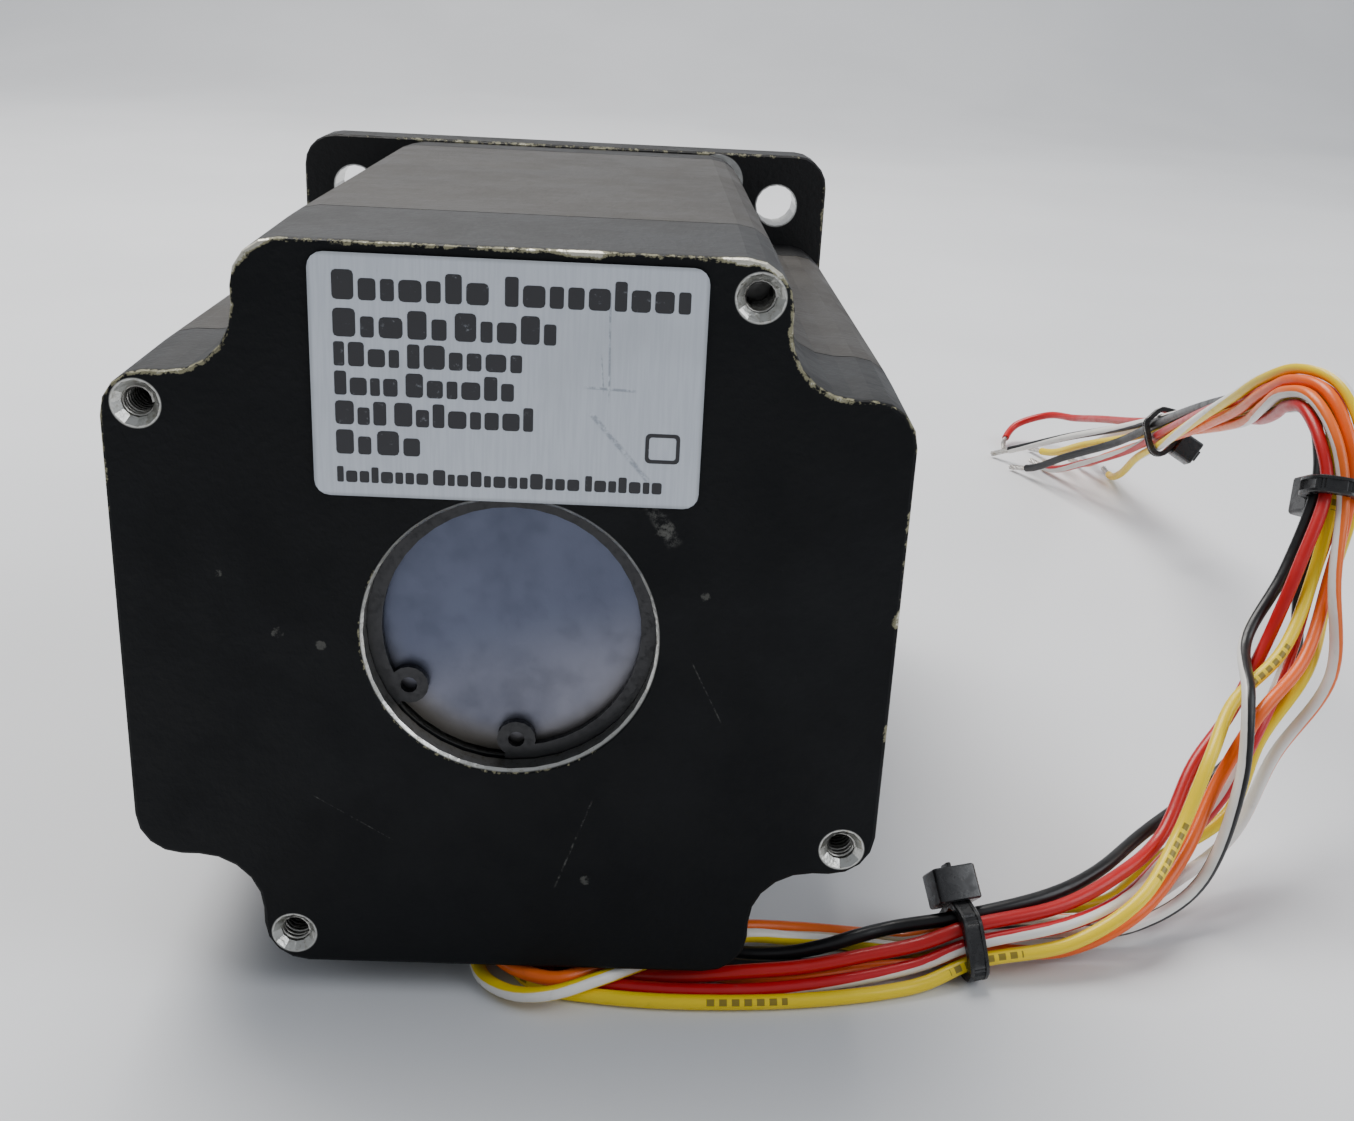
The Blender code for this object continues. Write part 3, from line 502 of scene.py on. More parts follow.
def lead_look(name, colour, stripe=None, phase=0.0, wide=0.3, printed=False):
    """Glossy insulation with a lengthwise stripe that slowly winds round."""
    look = Look(name, colour, 0.34, Coat_Weight=0.08, Specular_IOR_Level=0.4)
    where = look.motor()
    node = look.tree.nodes.new("ShaderNodeUVMap")
    node.uv_map = "along"
    u, v, _ = look.split(Field(look.tree, node.outputs[0]))
    if stripe:
        turn = (v + u * STRIPE_WINDS + phase).math("FRACT")
        ragged = look.noise(where, 2.5, 2.0) * 0.03
        edge = abs(turn - 0.5) + ragged
        look.paint(stripe, edge.fade(wide / 2 + 0.02, wide / 2))
    tone = look.noise(where, 14.0, 4.0)
    look.paint(tuple(c * 0.62 for c in colour), tone.fade(0.5, 0.8, 0.0, 0.35))
    grime = look.noise(where, 3.0, 5.0, 0.65, shift=40.0)
    look.paint((0.06, 0.05, 0.045), grime.fade(0.6, 0.82, 0.0, 0.3))
    if printed:
        beat = (u * (1 / 31.0)).math("FRACT")
        dash = (u * (1 / 1.5)).math("FRACT")
        row = abs(v - 0.40).fade(0.085, 0.07)
        word = beat.fade(0.30, 0.301) * beat.fade(0.62, 0.619) * dash.fade(0.66, 0.58)
        look.paint((0.05, 0.04, 0.02), row * word * 0.75)
    look.lay("Roughness", 0.55, grime.fade(0.45, 0.75))
    look.bump(look.noise(where, 0.5, 2.0), 0.01)
    look.bump(look.noise(where, 6.0, 2.0), 0.05)
    return look


def tinned_look():
    """Tinned copper, dull in patches."""
    look = Look("tinned_copper", (0.62, 0.6, 0.57), 0.34, 1.0)
    where = look.motor()
    dull = look.noise(where, 0.9, 3.0)
    look.paint((0.42, 0.36, 0.3), dull.fade(0.45, 0.75, 0.0, 0.7))
    look.lay("Roughness", 0.55, dull.fade(0.4, 0.7))
    look.bump(look.noise(where, 0.3, 2.0), 0.02)
    return look


def tinned_end(name, line, look):
    """Twisted bare strands along the last stretch of a lead."""
    bm = bmesh.new()
    strands = 7
    span = sum((b - a).length for a, b in zip(line, line[1:]))
    for strand in range(strands):
        path = []
        run = 0.0
        for i, point in enumerate(line):
            if i:
                run += (point - line[i - 1]).length
            along = (line[min(i + 1, len(line) - 1)] - line[max(i - 1, 0)]).normalized()
            side = (Vector((0, 0, 1)) - along.z * along).normalized()
            other = along.cross(side)
            angle = math.tau * (strand / (strands - 1) + run / 9.0)
            reach = 0.0 if strand == strands - 1 else 0.4 + 0.08 * run / span
            path.append(point + reach * (side * math.cos(angle) + other * math.sin(angle)))
        one = tube(path, 0.21, 6)
        mesh = bpy.data.meshes.new("strand")
        one.to_mesh(mesh)
        one.free()
        bm.from_mesh(mesh)
        bpy.data.meshes.remove(mesh)
    return piece(name, bm, look, Matrix.Scale(MM, 4), "housing", 60)


def resample(line, step):
    """Points step apart along a line, ends kept."""
    total = sum((b - a).length for a, b in zip(line, line[1:]))
    count = max(2, round(total / step))
    out = [line[0]]
    run = 0.0
    due = total / count
    for a, b in zip(line, line[1:]):
        span = (b - a).length
        while run + span >= due - 1e-9 and len(out) < count:
            out.append(a.lerp(b, (due - run) / span))
            due += total / count
        run += span
    out.append(line[-1])
    return out


BARE = 6.0                     # bared end of each lead
LEAD_STEP = 1.2                # spacing of the points along a lead


def leads():
    """Striped insulation and a bared end for each lead."""
    frames = bundle_frames()
    tin = tinned_look()
    for name, lead in LEADS.items():
        line = smooth_line(lead_points(lead, frames))
        line = [Vector((p.x, p.y, max(p.z, LAY))) for p in line]
        line = resample(line, LEAD_STEP)
        bare = round(BARE / LEAD_STEP)
        cover = line[:-bare]
        look = lead_look(f"insulation_{name}", **LOOKS[name])
        made = piece(f"free_lead_{name}", tube(cover, LEAD_R), look, Matrix.Scale(MM, 4),
                     "housing", 60)
        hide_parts(f"lead_{name}")
        end = tinned_end(f"bare_end_{name}", line[-bare - 2:], tin)
        length = sum((b - a).length for a, b in zip(cover, cover[1:])) * MM
        tuple(line[0] * MM)
        [tuple(p * MM) for p in cover]


WHITE = (0.78, 0.76, 0.72)
LOOKS = {
    "yellow": dict(colour=(0.86, 0.62, 0.003), printed=True),
    "red_white": dict(colour=(0.50, 0.008, 0.015), stripe=WHITE, phase=0.62, wide=0.24),
    "red": dict(colour=(0.48, 0.006, 0.008)),
    "orange": dict(colour=(0.80, 0.11, 0.003)),
    "black_white": dict(colour=(0.009, 0.009, 0.01), stripe=WHITE, phase=0.80, wide=0.3),
    "black": dict(colour=(0.009, 0.009, 0.01)),
    "yellow_white": dict(colour=(0.86, 0.62, 0.003), stripe=WHITE, phase=0.85, wide=0.26),
    "orange_white": dict(colour=(0.78, 0.13, 0.006), stripe=WHITE, phase=0.44, wide=0.5),
}


# ---------------------------------------------------------------- cable ties

def hull_outline(points, margin, steps):
    """A closed outline that stays a margin outside all the points."""
    out = []
    for k in range(steps):
        angle = math.tau * k / steps
        way = (math.cos(angle), math.sin(angle))
        out.append((way, max(x * way[0] + y * way[1] for x, y in points) + margin))
    corners = []
    for (way_a, reach_a), (way_b, reach_b) in zip(out, out[1:] + out[:1]):
        det = way_a[0] * way_b[1] - way_a[1] * way_b[0]
        corners.append(((reach_a * way_b[1] - reach_b * way_a[1]) / det,
                        (way_a[0] * reach_b - way_b[0] * reach_a) / det))
    return corners


def nylon_look():
    """Black moulded nylon with a little dust."""
    look = Look("black_nylon", (0.011, 0.011, 0.012), 0.26, Specular_IOR_Level=0.6)
    where = look.motor()
    look.lay("Roughness", 0.5, look.noise(where, 1.4, 3.0).fade(0.45, 0.75))
    dust = look.noise(where, 0.7, 4.0, 0.7, shift=9.0)
    look.paint((0.16, 0.15, 0.14), dust.fade(0.68, 0.84, 0.0, 0.5))
    look.bump(look.noise(where, 0.35, 2.0), 0.012)
    return look


def join(target, parts):
    """Add several bmeshes to one."""
    for part in parts:
        mesh = bpy.data.meshes.new("part")
        part.to_mesh(mesh)
        part.free()
        target.from_mesh(mesh)
        bpy.data.meshes.remove(mesh)
    return target


def cable_ties():
    """Band with its ridges, locking head with an open slot, and the cut tail in it."""
    frames = bundle_frames()
    look = nylon_look()
    lines = [smooth_line(lead_points(lead, frames)) for lead in LEADS.values()]
    for number, (station, head_angle) in enumerate(((TIE_1, 45), (TIE_2, 326), (TIE_3, 258)), 1):
        spot, away, left = frames[station]
        along = away.cross(left)
        section = []
        for line in lines:
            near = min(line, key=lambda p: (p - spot).length)
            section.append(((near - spot).dot(away), (near - spot).dot(left)))
        basis = Matrix((away, left, along)).transposed().to_4x4()
        stand = Matrix.Scale(MM, 4) @ Matrix.Translation(spot) @ basis
        steps = 56
        inner = hull_outline(section, LEAD_R + 0.35, steps)
        ridged = [hull_outline(section, LEAD_R + 1.2 + 0.16 * (k % 2), steps)[k]
                  for k in range(steps)]
        outer = hull_outline(section, LEAD_R + 1.4, steps)
        eased = hull_outline(section, LEAD_R + 1.25, steps)
        half = 1.25
        band = block([[(-half, eased), (-half + 0.15, outer), (-0.75, outer), (-0.72, ridged),
                       (0.72, ridged), (0.75, outer), (half - 0.15, outer), (half, eased)],
                      [(-half, inner), (half, inner)]], upright=True)
        way = Vector((math.cos(math.radians(head_angle)), math.sin(math.radians(head_angle)), 0))
        reach = max(x * way.x + y * way.y for x, y in section) + LEAD_R + 0.8
        outline = slot_outline(0, 0, 5.0, 5.6, 0.55)
        smaller = slot_outline(0, 0, 4.6, 5.2, 0.4)
        hole = slot_outline(0, 0.5, 2.7, 1.9, 0.25)
        wider = slot_outline(0, 0.5, 3.1, 2.3, 0.3)
        head = block([[(-2.2, smaller), (-2.0, outline), (2.0, outline), (2.2, smaller)],
                      [(-2.2, wider), (-1.8, hole), (1.8, hole), (2.2, wider)]], upright=True)
        pawl = block([[(-1.9, slot_outline(0, 1.0, 2.2, 0.7, 0.15)),
                       (0.6, slot_outline(0, 0.75, 2.2, 0.9, 0.15)),
                       (1.2, slot_outline(0, 0.9, 2.2, 0.5, 0.15))]], upright=True)
        tail = block([[(-3.4, slot_outline(0, -0.1, 2.35, 0.55, 0.1)),
                       (2.75, slot_outline(0, -0.1, 2.35, 0.55, 0.1)),
                       (2.9, slot_outline(0, -0.1, 2.2, 0.4, 0.1))]], upright=True)
        turn = Matrix.Rotation(math.radians(head_angle), 4, "Z")
        turn = turn @ Matrix.Rotation(math.pi / 2, 4, "Y")
        lift = Matrix.Translation(way * (reach + 2.2))
        quarter = Matrix.Rotation(math.pi / 2, 4, "Z")
        for part in (head, pawl, tail):
            bmesh.ops.transform(part, matrix=lift @ turn @ quarter, verts=part.verts)
        tie = piece(f"nylon_tie_{number}", join(band, (head, pawl, tail)), look, stand, "housing",
                    40)
        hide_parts(f"cable_tie_{number}")


# ---------------------------------------------------------------- the motor's materials

HOLES = ((-38.4, 24.8), (24.8, 38.4), (38.4, -24.8), (-24.8, -38.4))


def ring_distance(x, z, cx, cz):
    """Distance from a hole's axis."""
    return hypot(x - cx, z - cz)


def black_paint(name, tone, coarse, sheen=0.3):
    """Satin baked paint on a casting: fine orange peel, cloudy tone, patchy roughness and dust."""
    look = Look(name, tone, 0.45, Specular_IOR_Level=sheen)
    where = look.motor()
    x, y, z = look.split(where)
    cloud = look.noise(where, 22.0, 4.0)
    look.paint(tuple(c * 1.5 + 0.0015 for c in tone), cloud.fade(0.4, 0.75, 0.0, 0.55))
    peel = look.noise(where, coarse, 2.0)
    grain = look.noise(where, coarse * 0.35, 2.0, shift=7.0)
    look.lay("Roughness", 0.62, look.noise(where, 9.0, 5.0, 0.6, shift=3.0).fade(0.35, 0.7))
    look.bump(peel, 0.09)
    look.bump(grain, 0.03)
    dust = look.noise(where, 0.9, 5.0, 0.75, shift=21.0)
    patch = look.noise(where, 16.0, 3.0, shift=5.0).fade(0.45, 0.7)
    look.paint((0.12, 0.115, 0.1), dust.fade(0.70, 0.78) * patch * 0.6)
    return look, where, (x, y, z)


def hypot(a, b):
    """Distance from two fields, each the distance along one axis."""
    return (a * a + b * b).math("SQRT")


ARM = 28.3                     # half width of the arms between the notched corners
NOTCH_R = 7.0                  # fillet inside each notch
CORNER_R = 5.0                 # outer corners of the arms
HALF = 42.8                    # half width of the body, and of the rear bell near its face
REAR_HALF = 42.3
BORE_R = 16.0


def cross_depth(x, z, half):
    """How far inside the notched outline, in millimetres."""
    ax, az = abs(x), abs(z)
    centre = ARM + NOTCH_R
    notch = hypot((ax * -1.0 + centre).maximum(0.0), (az * -1.0 + centre).maximum(0.0)) - NOTCH_R
    out = (ax.maximum(az) - (half - CORNER_R)).maximum(0.0)
    side = (ax.minimum(az) - (ARM - CORNER_R)).maximum(0.0) * out.math("GREATER_THAN", 0.0)
    return notch.minimum(hypot(out, side) * -1.0 + CORNER_R)


def edge_chips(look, where, edge, fine=0.8):
    """Paint worn through to cream primer and bright metal where edge is near one."""
    broad = look.noise(where, 7.0, 4.0, 0.6, shift=33.0)
    small = look.noise(where, fine, 4.0, 0.7, shift=12.0)
    worn = edge * 0.62 + small * 0.8 + broad * 0.5
    chips = worn.fade(1.22, 1.29)
    deep = worn.fade(1.36, 1.44)
    look.paint((0.25, 0.235, 0.15), chips * 0.9)
    look.paint((0.6, 0.58, 0.5), deep)
    look.lay("Metallic", 0.8, deep)
    look.lay("Roughness", 0.5, chips)
    look.bump(chips, -0.05)


def rub(x, z, ax, az, bx, bz, wide):
    """One along a straight scratch between two points, zero away from it."""
    length = math.hypot(bx - ax, bz - az)
    ux, uz = (bx - ax) / length, (bz - az) / length
    along = (x - ax) * ux + (z - az) * uz
    off = abs((x - ax) * uz - (z - az) * ux)
    ends = along.fade(-0.3, 0.6) * along.fade(length + 0.3, length - 0.6)
    return off.fade(wide, wide * 0.3) * ends


def rear_bell_look():
    """Painted rear casting: knocks on its top edges, bright bore rim and tapped holes, with
    painted shade on its rear face and in its holes, and painted light on its top.
    """
    # Painted shade: this black paint is set far darker than the same paint on the stator, so the
    # rear face reads as in shade.
    look, where, (x, y, z) = black_paint("rear_bell_paint", (0.0042, 0.0047, 0.0056), 1.1, 0.14)
    depth = cross_depth(x, z, REAR_HALF)
    side = y.fade(0.2, 1.5)
    # Painted light: the upper part of the bell, off its rear face, is painted lighter, as if lit
    # from above.
    look.paint((0.021, 0.0215, 0.0225), side * z.fade(20.0, 34.0))
    look.lay("Specular IOR Level", 0.3, side)
    rim = depth.fade(1.3, 0.15) * y.fade(1.5, 0.25)
    knocks = None
    for cx, cz, r in ((7.0, 42.0, 3.2), (24.6, 41.6, 4.6), (-26.5, 41.0, 3.4), (41.5, -9.9, 2.2),
                      (41.8, 4.0, 1.4)):
        knock = ring_distance(x, z, cx, cz).fade(r, r * 0.3)
        knocks = knock if knocks is None else knocks.maximum(knock)
    top = z.fade(-34.0, 30.0, 0.35, 1.0)
    edge_chips(look, where, rim * top + knocks * depth.fade(3.6, 0.6) * y.fade(4.0, 1.0) * 0.5)
    bore = hypot(x, z)
    near_rim = bore.fade(BORE_R + 1.2, BORE_R + 0.3) * y.fade(0.5, 0.1)
    edge_chips(look, where, near_rim * (x + z).fade(14.0, -12.0, 0.5, 0.95), 0.6)
    scuffs = look.noise(where, 0.7, 5.0, 0.8, shift=51.0)
    blot = look.noise(where, 2.2, 4.0, 0.7, shift=63.0)
    spots = None
    for cx, cz, r in ((16.3, 13.4, 2.4), (-25.1, -0.1, 1.8), (-31.0, 6.5, 1.2), (9.0, -30.0, 1.6),
                      (-20.5, -1.5, 1.4), (21.0, 6.0, 1.3)):
        spot = ring_distance(x, z, cx, cz).fade(r, r * 0.2)
        spots = spot if spots is None else spots.maximum(spot)
    spots = spots * y.fade(1.4, 0.8)
    marked = spots * 0.5 + scuffs * 0.6 + blot * 0.4
    look.paint((0.10, 0.10, 0.09), marked.fade(0.92, 1.04) * 0.7)
    lines = None
    for line in ((9.5, -19.5, 5.5, -31.0, 0.14), (20.0, -2.0, 23.5, -9.0, 0.1),
                 (-22.0, -20.0, -13.0, -25.5, 0.08), (14.2, 16.8, 17.5, 11.6, 1.1)):
        scratch = rub(x, z, *line)
        lines = scratch if lines is None else lines.maximum(scratch)
    lines = lines * y.fade(0.3, 0.1) * (scuffs * 0.6 + blot * 0.4).fade(0.45, 0.6)
    look.paint((0.13, 0.13, 0.12), lines * 0.6)
    holes = None
    for cx, cz in HOLES:
        reach = ring_distance(x, z, cx, cz)
        holes = reach if holes is None else holes.minimum(reach)
    bright = holes.fade(2.72, 2.5).maximum(bore.fade(BORE_R + 0.35, BORE_R + 0.15))
    look.paint((0.6, 0.6, 0.57), bright)
    look.paint((0.30, 0.27, 0.19), bright * scuffs.fade(0.5, 0.7, 0.0, 0.8))
    # Painted shade: the walls deep inside the tapped holes are painted dark.
    look.paint((0.05, 0.05, 0.045), holes.fade(2.2, 2.0) * y.fade(0.6, 1.6))
    look.lay("Metallic", 1.0, bright)
    look.lay("Roughness", 0.3, bright)
    return look


def stator_look():
    """Painted laminations: the paint follows the faint steps between the sheets."""
    look, where, (x, y, z) = black_paint("stator_paint", (0.032, 0.029, 0.026), 0.9, 0.35)
    sheets = look.noise(look.stretch(where, 0.02, 1.0, 0.02), 0.7, 1.0, shift=2.0)
    look.bump(sheets, 0.035)
    tone = look.noise(where, 30.0, 3.0, shift=14.0)
    look.paint((0.046, 0.042, 0.037), tone.fade(0.4, 0.7, 0.0, 0.5))
    depth = cross_depth(x, z, HALF)
    ends = y.fade(22.5, 20.9).maximum(y.fade(91.5, 93.1))
    edge_chips(look, where, ends * depth.fade(1.0, 0.0) * 0.75)
    arms = (abs(x) - 27.2).maximum(abs(z) - 27.2)
    streak = look.noise(look.stretch(where, 1.0, 0.12, 1.0), 0.9, 4.0, 0.7, shift=6.0)
    look.paint((0.11, 0.1, 0.09), streak.fade(0.66, 0.78) * arms.fade(12.0, 15.0) * 0.5)
    return look


def front_bell_look():
    """Painted flange casting: bright holes, pilot edge and contact marks on its face."""
    look, where, (x, y, z) = black_paint("front_bell_paint", (0.0075, 0.0075, 0.008), 1.0, 0.25)
    square = abs(x).maximum(abs(z))
    rim = square.fade(41.4, 42.6) * (y.fade(105.4, 104.2) + y.fade(110.6, 111.8))
    edge_chips(look, where, rim * y.fade(103.6, 103.9) * 0.9)
    bore = hypot(x, z)
    holes = None
    for cx in (-34.8, 34.8):
        for cz in (-34.8, 34.8):
            reach = ring_distance(x, z, cx, cz)
            holes = reach if holes is None else holes.minimum(reach)
    for cx, cz in HOLES:
        reach = ring_distance(x, z, cx, cz) - 0.75
        holes = holes.minimum(reach)
    inside = y.fade(103.7, 104.0)
    face = y.fade(111.7, 111.9)
    worn = look.noise(where, 1.2, 4.0, 0.7, shift=18.0)
    bright = (holes.fade(3.55, 3.38) * inside).maximum(bore.fade(7.4, 7.2) * inside)
    patch = look.noise(where, 6.0, 4.0, shift=26.0)
    contact = face * bore.fade(36.2, 36.6) * patch.fade(0.4, 0.62)
    bright = bright.maximum(bore.fade(36.9, 36.6) * y.fade(112.2, 112.5) * bore.fade(35.8, 36.2))
    bright = bright.maximum(contact * worn.fade(0.6, 0.72) * 0.35)
    look.paint((0.6, 0.6, 0.58), bright)
    look.lay("Metallic", 1.0, bright)
    look.lay("Roughness", 0.34, bright)
    return look


def steel_look(name, colour, rough, streaks, dirt=0.4, size=6.0):
    """Turned or ground steel: fine marks one way, and thin oil and rust in patches."""
    look = Look(name, colour, rough, 1.0)
    where = look.motor()
    marks = look.noise(look.stretch(where, *streaks), 0.5, 3.0, 0.6)
    look.bump(marks, 0.012)
    look.lay("Roughness", min(1.0, rough + 0.25), marks.fade(0.4, 0.75))
    stain = look.noise(where, size, 5.0, 0.6, shift=8.0)
    look.paint(tuple(c * 0.5 for c in colour), stain.fade(0.5, 0.8, 0.0, dirt))
    spots = look.noise(where, 1.1, 4.0, 0.7, shift=30.0)
    look.paint((0.16, 0.09, 0.05), spots.fade(0.7, 0.82, 0.0, dirt))
    return look


def cover_look():
    """Pressed cover disc: satin steel; its bluish tone is a painted reflection of blue
    surroundings, darker at the top as painted shade, lighter towards the bottom as painted
    reflection, cloudy, and browner towards its rim in its lower half.
    """
    # Painted reflection: the bluish base colour stands for blue surroundings seen in the satin
    # disc.
    look = Look("cover_disc_steel", (0.115, 0.13, 0.19), 0.4, 0.7)
    where = look.motor()
    x, y, z = look.split(where)
    # Painted reflection and shade: lighter towards the bottom, left darker at the top.
    look.paint((0.30, 0.30, 0.35), (z - x * 0.3).fade(2.0, -12.0, 0.0, 0.75))
    # Darker clouds at random, bluish as part of the painted reflection.
    cloud = look.noise(where, 11.0, 4.0, shift=4.0)
    look.paint((0.075, 0.085, 0.13), cloud.fade(0.4, 0.8, 0.0, 0.6))
    look.paint((0.13, 0.11, 0.07), hypot(x, z).fade(11.5, 15.5, 0.0, 0.75) * z.fade(2.0, -12.0))
    look.lay("Roughness", 0.52, look.noise(where, 3.0, 4.0).fade(0.4, 0.7))
    look.bump(look.noise(where, 0.4, 3.0), 0.015)
    specks = look.noise(where, 0.8, 4.0, 0.8, shift=44.0)
    look.paint((0.04, 0.035, 0.03), specks.fade(0.72, 0.8) * 0.6)
    return look


LABEL_X = -0.4                 # the label's middle, then its width and height
LABEL_Z = 28.55
LABEL_WIDE = 40.0
LABEL_TALL = 25.2
INK = (-0.475, -0.44)          # outer and inner face of the print, y


def label_look():
    """Silver film label, scratched and creased in places."""
    look = Look("label_film", (0.53, 0.57, 0.63), 0.42, 0.15)
    where = look.motor()
    x, y, z = look.split(where)
    brush = look.noise(look.stretch(where, 6.0, 1.0, 0.3), 1.5, 2.0)
    look.paint((0.62, 0.66, 0.71), brush.fade(0.35, 0.65, 0.0, 0.45))
    cloud = look.noise(where, 12.0, 3.0, shift=3.0)
    look.paint((0.43, 0.46, 0.5), cloud.fade(0.45, 0.75, 0.0, 0.4))
    dirt = look.noise(where, 1.3, 5.0, 0.75, shift=17.0)
    look.paint((0.2, 0.2, 0.19), dirt.fade(0.69, 0.78) * 0.45)
    marks = None
    for line in ((9.7, 38.4, 9.9, 27.2, 0.16), (7.4, 28.6, 12.6, 28.4, 0.2),
                 (9.0, 32.0, 9.3, 28.2, 0.1), (8.0, 26.0, 14.5, 18.6, 0.38)):
        mark = rub(x, z, *line)
        marks = mark if marks is None else marks.maximum(mark)
    rough = look.noise(where, 0.6, 3.0, 0.7, shift=2.0).fade(0.35, 0.6)
    look.paint((0.28, 0.31, 0.36), marks * rough * 0.85)
    rim = (abs(x - LABEL_X) - LABEL_WIDE / 2).maximum(abs(z - LABEL_Z) - LABEL_TALL / 2)
    look.paint((0.22, 0.23, 0.24), rim.fade(-0.5, 0.0, 0.0, 0.5))
    look.lay("Roughness", 0.3, brush.fade(0.4, 0.6))
    look.bump(marks, -0.03)
    look.bump(look.noise(where, 5.0, 2.0, shift=9.0), 0.05)
    return look


def simple_look(name, colour, rough, metal, size, dark=0.6, depth=0.02):
    """Two tones and a fine bump, for pieces inside the motor."""
    look = Look(name, colour, rough, metal)
    where = look.motor()
    tone = look.noise(where, size, 4.0)
    look.paint(tuple(c * dark for c in colour), tone.fade(0.4, 0.7))
    look.lay("Roughness", min(1.0, rough + 0.2), tone.fade(0.35, 0.65))
    look.bump(look.noise(where, size * 0.15, 3.0), depth)
    return look


def dress_motor():
    """Materials for all the CAD pieces that stay in view."""
    dress("rear_bell", rear_bell_look())
    dress("stator_stack", stator_look())
    dress("front_bell", front_bell_look())
    dress("rear_cover_disc", cover_look())
    dress("label", label_look())
    dress("retaining_ring", steel_look("black_spring_steel", (0.05, 0.05, 0.052), 0.34,
                                       (1.0, 1.0, 1.0), 0.3))
    shaft = steel_look("ground_shaft_steel", (0.62, 0.61, 0.59), 0.22, (0.15, 8.0, 0.15), 0.35)
    dress("rotor_shaft", shaft)
    screw = steel_look("screw_steel", (0.46, 0.45, 0.43), 0.32, (1.0, 1.0, 1.0), 0.5, 3.0)
    for number in range(1, 5):
        dress(f"tie_screw_{number}", screw)
    ring = steel_look("bearing_steel", (0.6, 0.6, 0.6), 0.18, (0.2, 6.0, 0.2), 0.2)
    for end in ("rear", "front"):
        for part in ("outer_ring", "inner_ring", "balls"):
            dress(f"{end}_bearing_{part}", ring)
    dress("wave_washer", ring)
    cups = simple_look("ground_laminations", (0.36, 0.36, 0.37), 0.35, 0.9, 4.0)
    dress("rotor_cup_rear", cups)
    dress("rotor_cup_front", cups)
    dress("rotor_magnet", simple_look("sintered_magnet", (0.1, 0.1, 0.11), 0.55, 0.4, 2.0))
    copper = simple_look("enamelled_copper", (0.55, 0.2, 0.07), 0.3, 0.8, 1.2, 0.5, 0.1)
    for number in range(1, 9):
        dress(f"coil_{number}", copper)
    dress("lead_grommet", simple_look("grommet_rubber", (0.016, 0.016, 0.016), 0.7, 0.0, 2.5))


def label_print():
    """Rows of plain blocks in place of the label's printed letters."""
    look = Look("label_ink", (0.022, 0.022, 0.026), 0.5)
    where = look.motor()
    worn = look.noise(where, 0.9, 4.0, 0.75, shift=5.0)
    look.paint((0.28, 0.3, 0.33), worn.fade(0.62, 0.78, 0.0, 0.8))
    look.bump(worn, 0.01)
    rows = (
        (38.0, 3.0, (-18.0, 15.6), (-0.8, 18.6)),
        (34.2, 2.9, (-18.0, 11.4), (-5.8, 10.2)),
        (31.0, 2.5, (-18.0, 6.6), (-10.6, 11.6)),
        (28.0, 2.5, (-18.0, 6.4), (-10.8, 11.0)),
        (24.9, 2.5, (-18.0, 5.2), (-12.0, 14.2)),
        (21.8, 2.6, (-18.0, 3.6), (-13.8, 4.4)),
        (18.3, 1.7, (-18.0, 9.4), (-8.1, 15.2), (7.7, 8.0)),
    )
    parts = []
    for row, (z, tall, *words) in enumerate(rows):
        for start, wide in words:
            count = round(wide / (0.72 * tall))
            shares = [1.0 + 0.3 * math.sin(2.3 * k + 1.7 * row + start) for k in range(count)]
            unit = wide / (sum(shares) + 0.24 * (count - 1))
            left = start
            for k, share in enumerate(shares):
                high = tall * (1.0 if k == 0 or (3 * k + row) % 5 == 0 else 0.74)
                low = z - tall / 2
                outline = slot_outline(left + share * unit / 2, low + high / 2, share * unit, high,
                                       0.2 * share * unit, 2)
                parts.append(block([[(y, outline) for y in INK]]))
                left += (share + 0.24) * unit
    box = (slot_outline(15.6, 22.4, 3.6, 3.2, 0.5, 3), slot_outline(15.6, 22.4, 2.8, 2.4, 0.3, 3))
    parts.append(block([[(y, outline) for y in INK] for outline in box]))
    piece("label_blocks", join(bmesh.new(), parts), look, MOTOR, "housing")


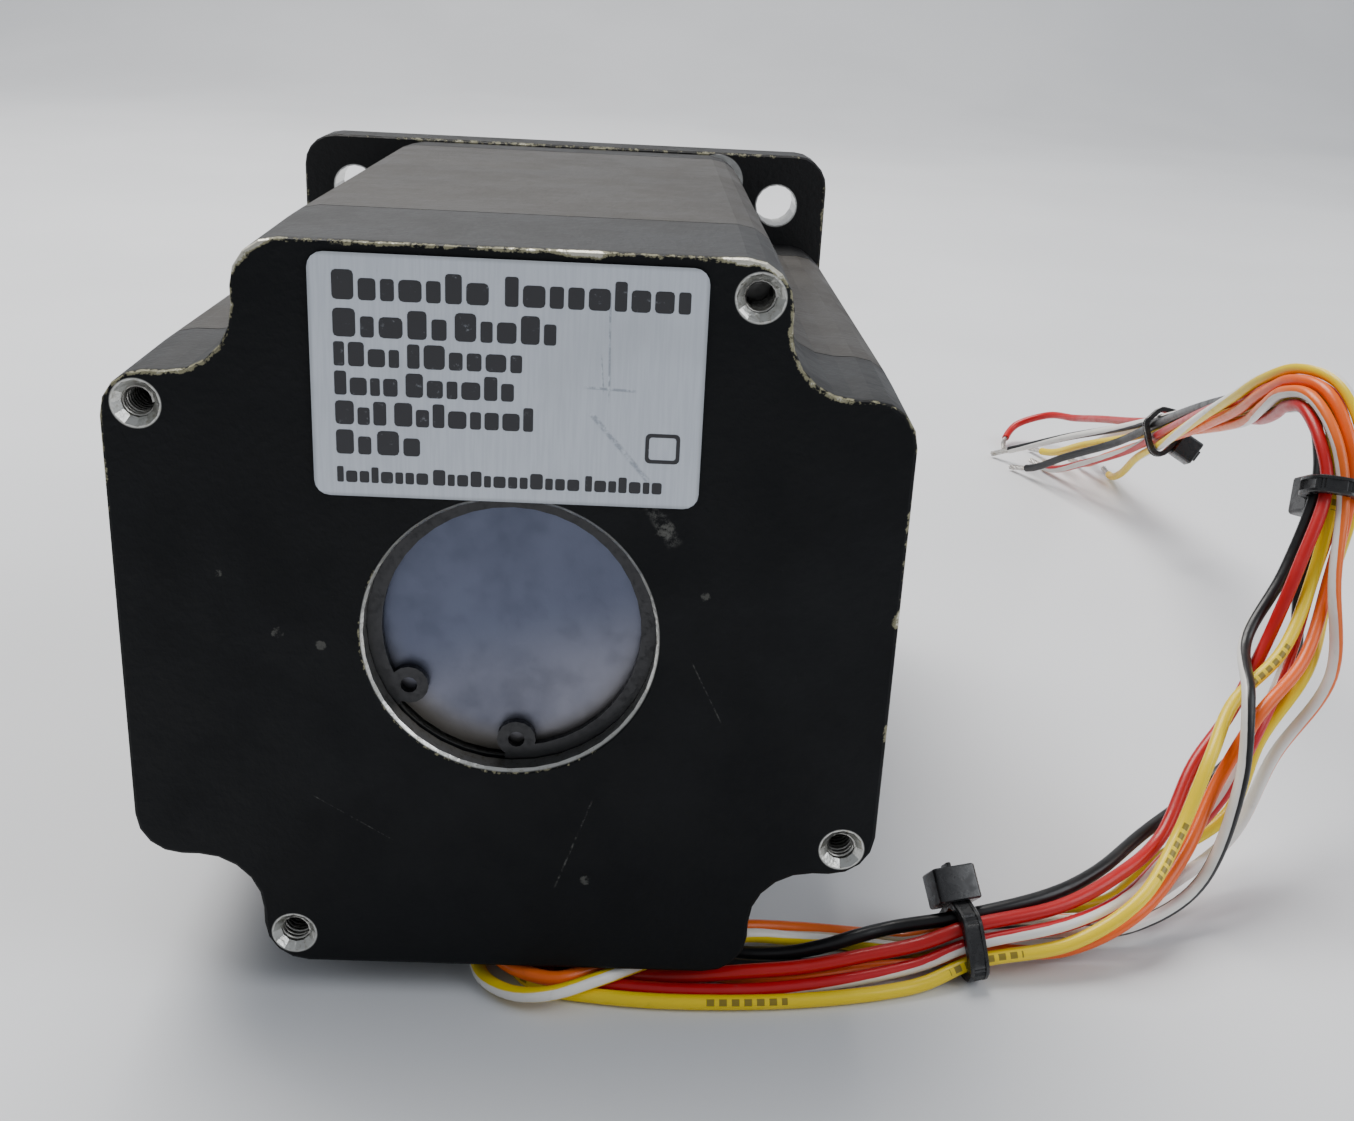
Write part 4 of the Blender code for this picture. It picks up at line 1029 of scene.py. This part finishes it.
def threads():
    """The thread inside each tapped hole of the rear bell."""
    look = steel_look("cut_thread", (0.5, 0.49, 0.46), 0.35, (1.0, 1.0, 1.0), 0.6, 1.5)
    for number, (cx, cz) in enumerate(HOLES, 1):
        line = []
        for k in range(0, 16 * 8 + 1):
            angle = math.tau * k / 16
            line.append(Vector((cx + 1.66 * math.cos(angle), 0.9 + 0.7 * k / 16,
                                cz + 1.66 * math.sin(angle))))
        piece(f"thread_{number}", tube(line, 0.2, 6), look, MOTOR, "housing", 60)


def surroundings():
    """Pale floor that rises behind into a wall, and soft lights."""
    bm = bmesh.new()
    profile = [(-3.0, 0.0), (0.9, 0.0)]
    profile += [(0.9 + 0.5 * math.sin(math.radians(a)), 0.5 - 0.5 * math.cos(math.radians(a)))
                for a in range(10, 91, 10)]
    profile.append((1.4, 3.0))
    rows = [[bm.verts.new((x, y, z)) for y, z in profile] for x in (-4.0, 4.0)]
    for k in range(len(profile) - 1):
        bm.faces.new((rows[0][k], rows[0][k + 1], rows[1][k + 1], rows[1][k]))
    bmesh.ops.recalc_face_normals(bm, faces=bm.faces)
    mesh = bpy.data.meshes.new("floor")
    bm.to_mesh(mesh)
    bm.free()
    mesh.shade_smooth()
    look = Look("floor_pale", (0.72, 0.73, 0.75), 0.75)
    where = look.motor()
    look.paint((0.68, 0.69, 0.71), look.noise(where, 160.0, 3.0).fade(0.35, 0.65))
    mesh.materials.append(look.material)
    floor = bpy.data.objects.new("floor", mesh)
    bpy.context.collection.objects.link(floor)
    world = bpy.data.worlds.new("studio")
    world.use_nodes = True
    back = world.node_tree.nodes["Background"]
    back.inputs["Color"].default_value = (0.80, 0.84, 0.90, 1.0)
    back.inputs["Strength"].default_value = 0.42
    bpy.context.scene.world = world
    area_light("key", (-0.25, 0.4, 1.0), (0.02, 0.0, 0.03), 0.7, 19.0, (1.0, 0.98, 0.95))
    area_light("fill", (0.95, -0.35, 0.75), (0.06, -0.02, 0.02), 0.8, 7.0, (0.93, 0.96, 1.0))


camera((12.4, -218.9, 117.3), 2.06, -22.35, 3.04, 39.8)
leads()
cable_ties()
dress_motor()
label_print()
threads()
surroundings()
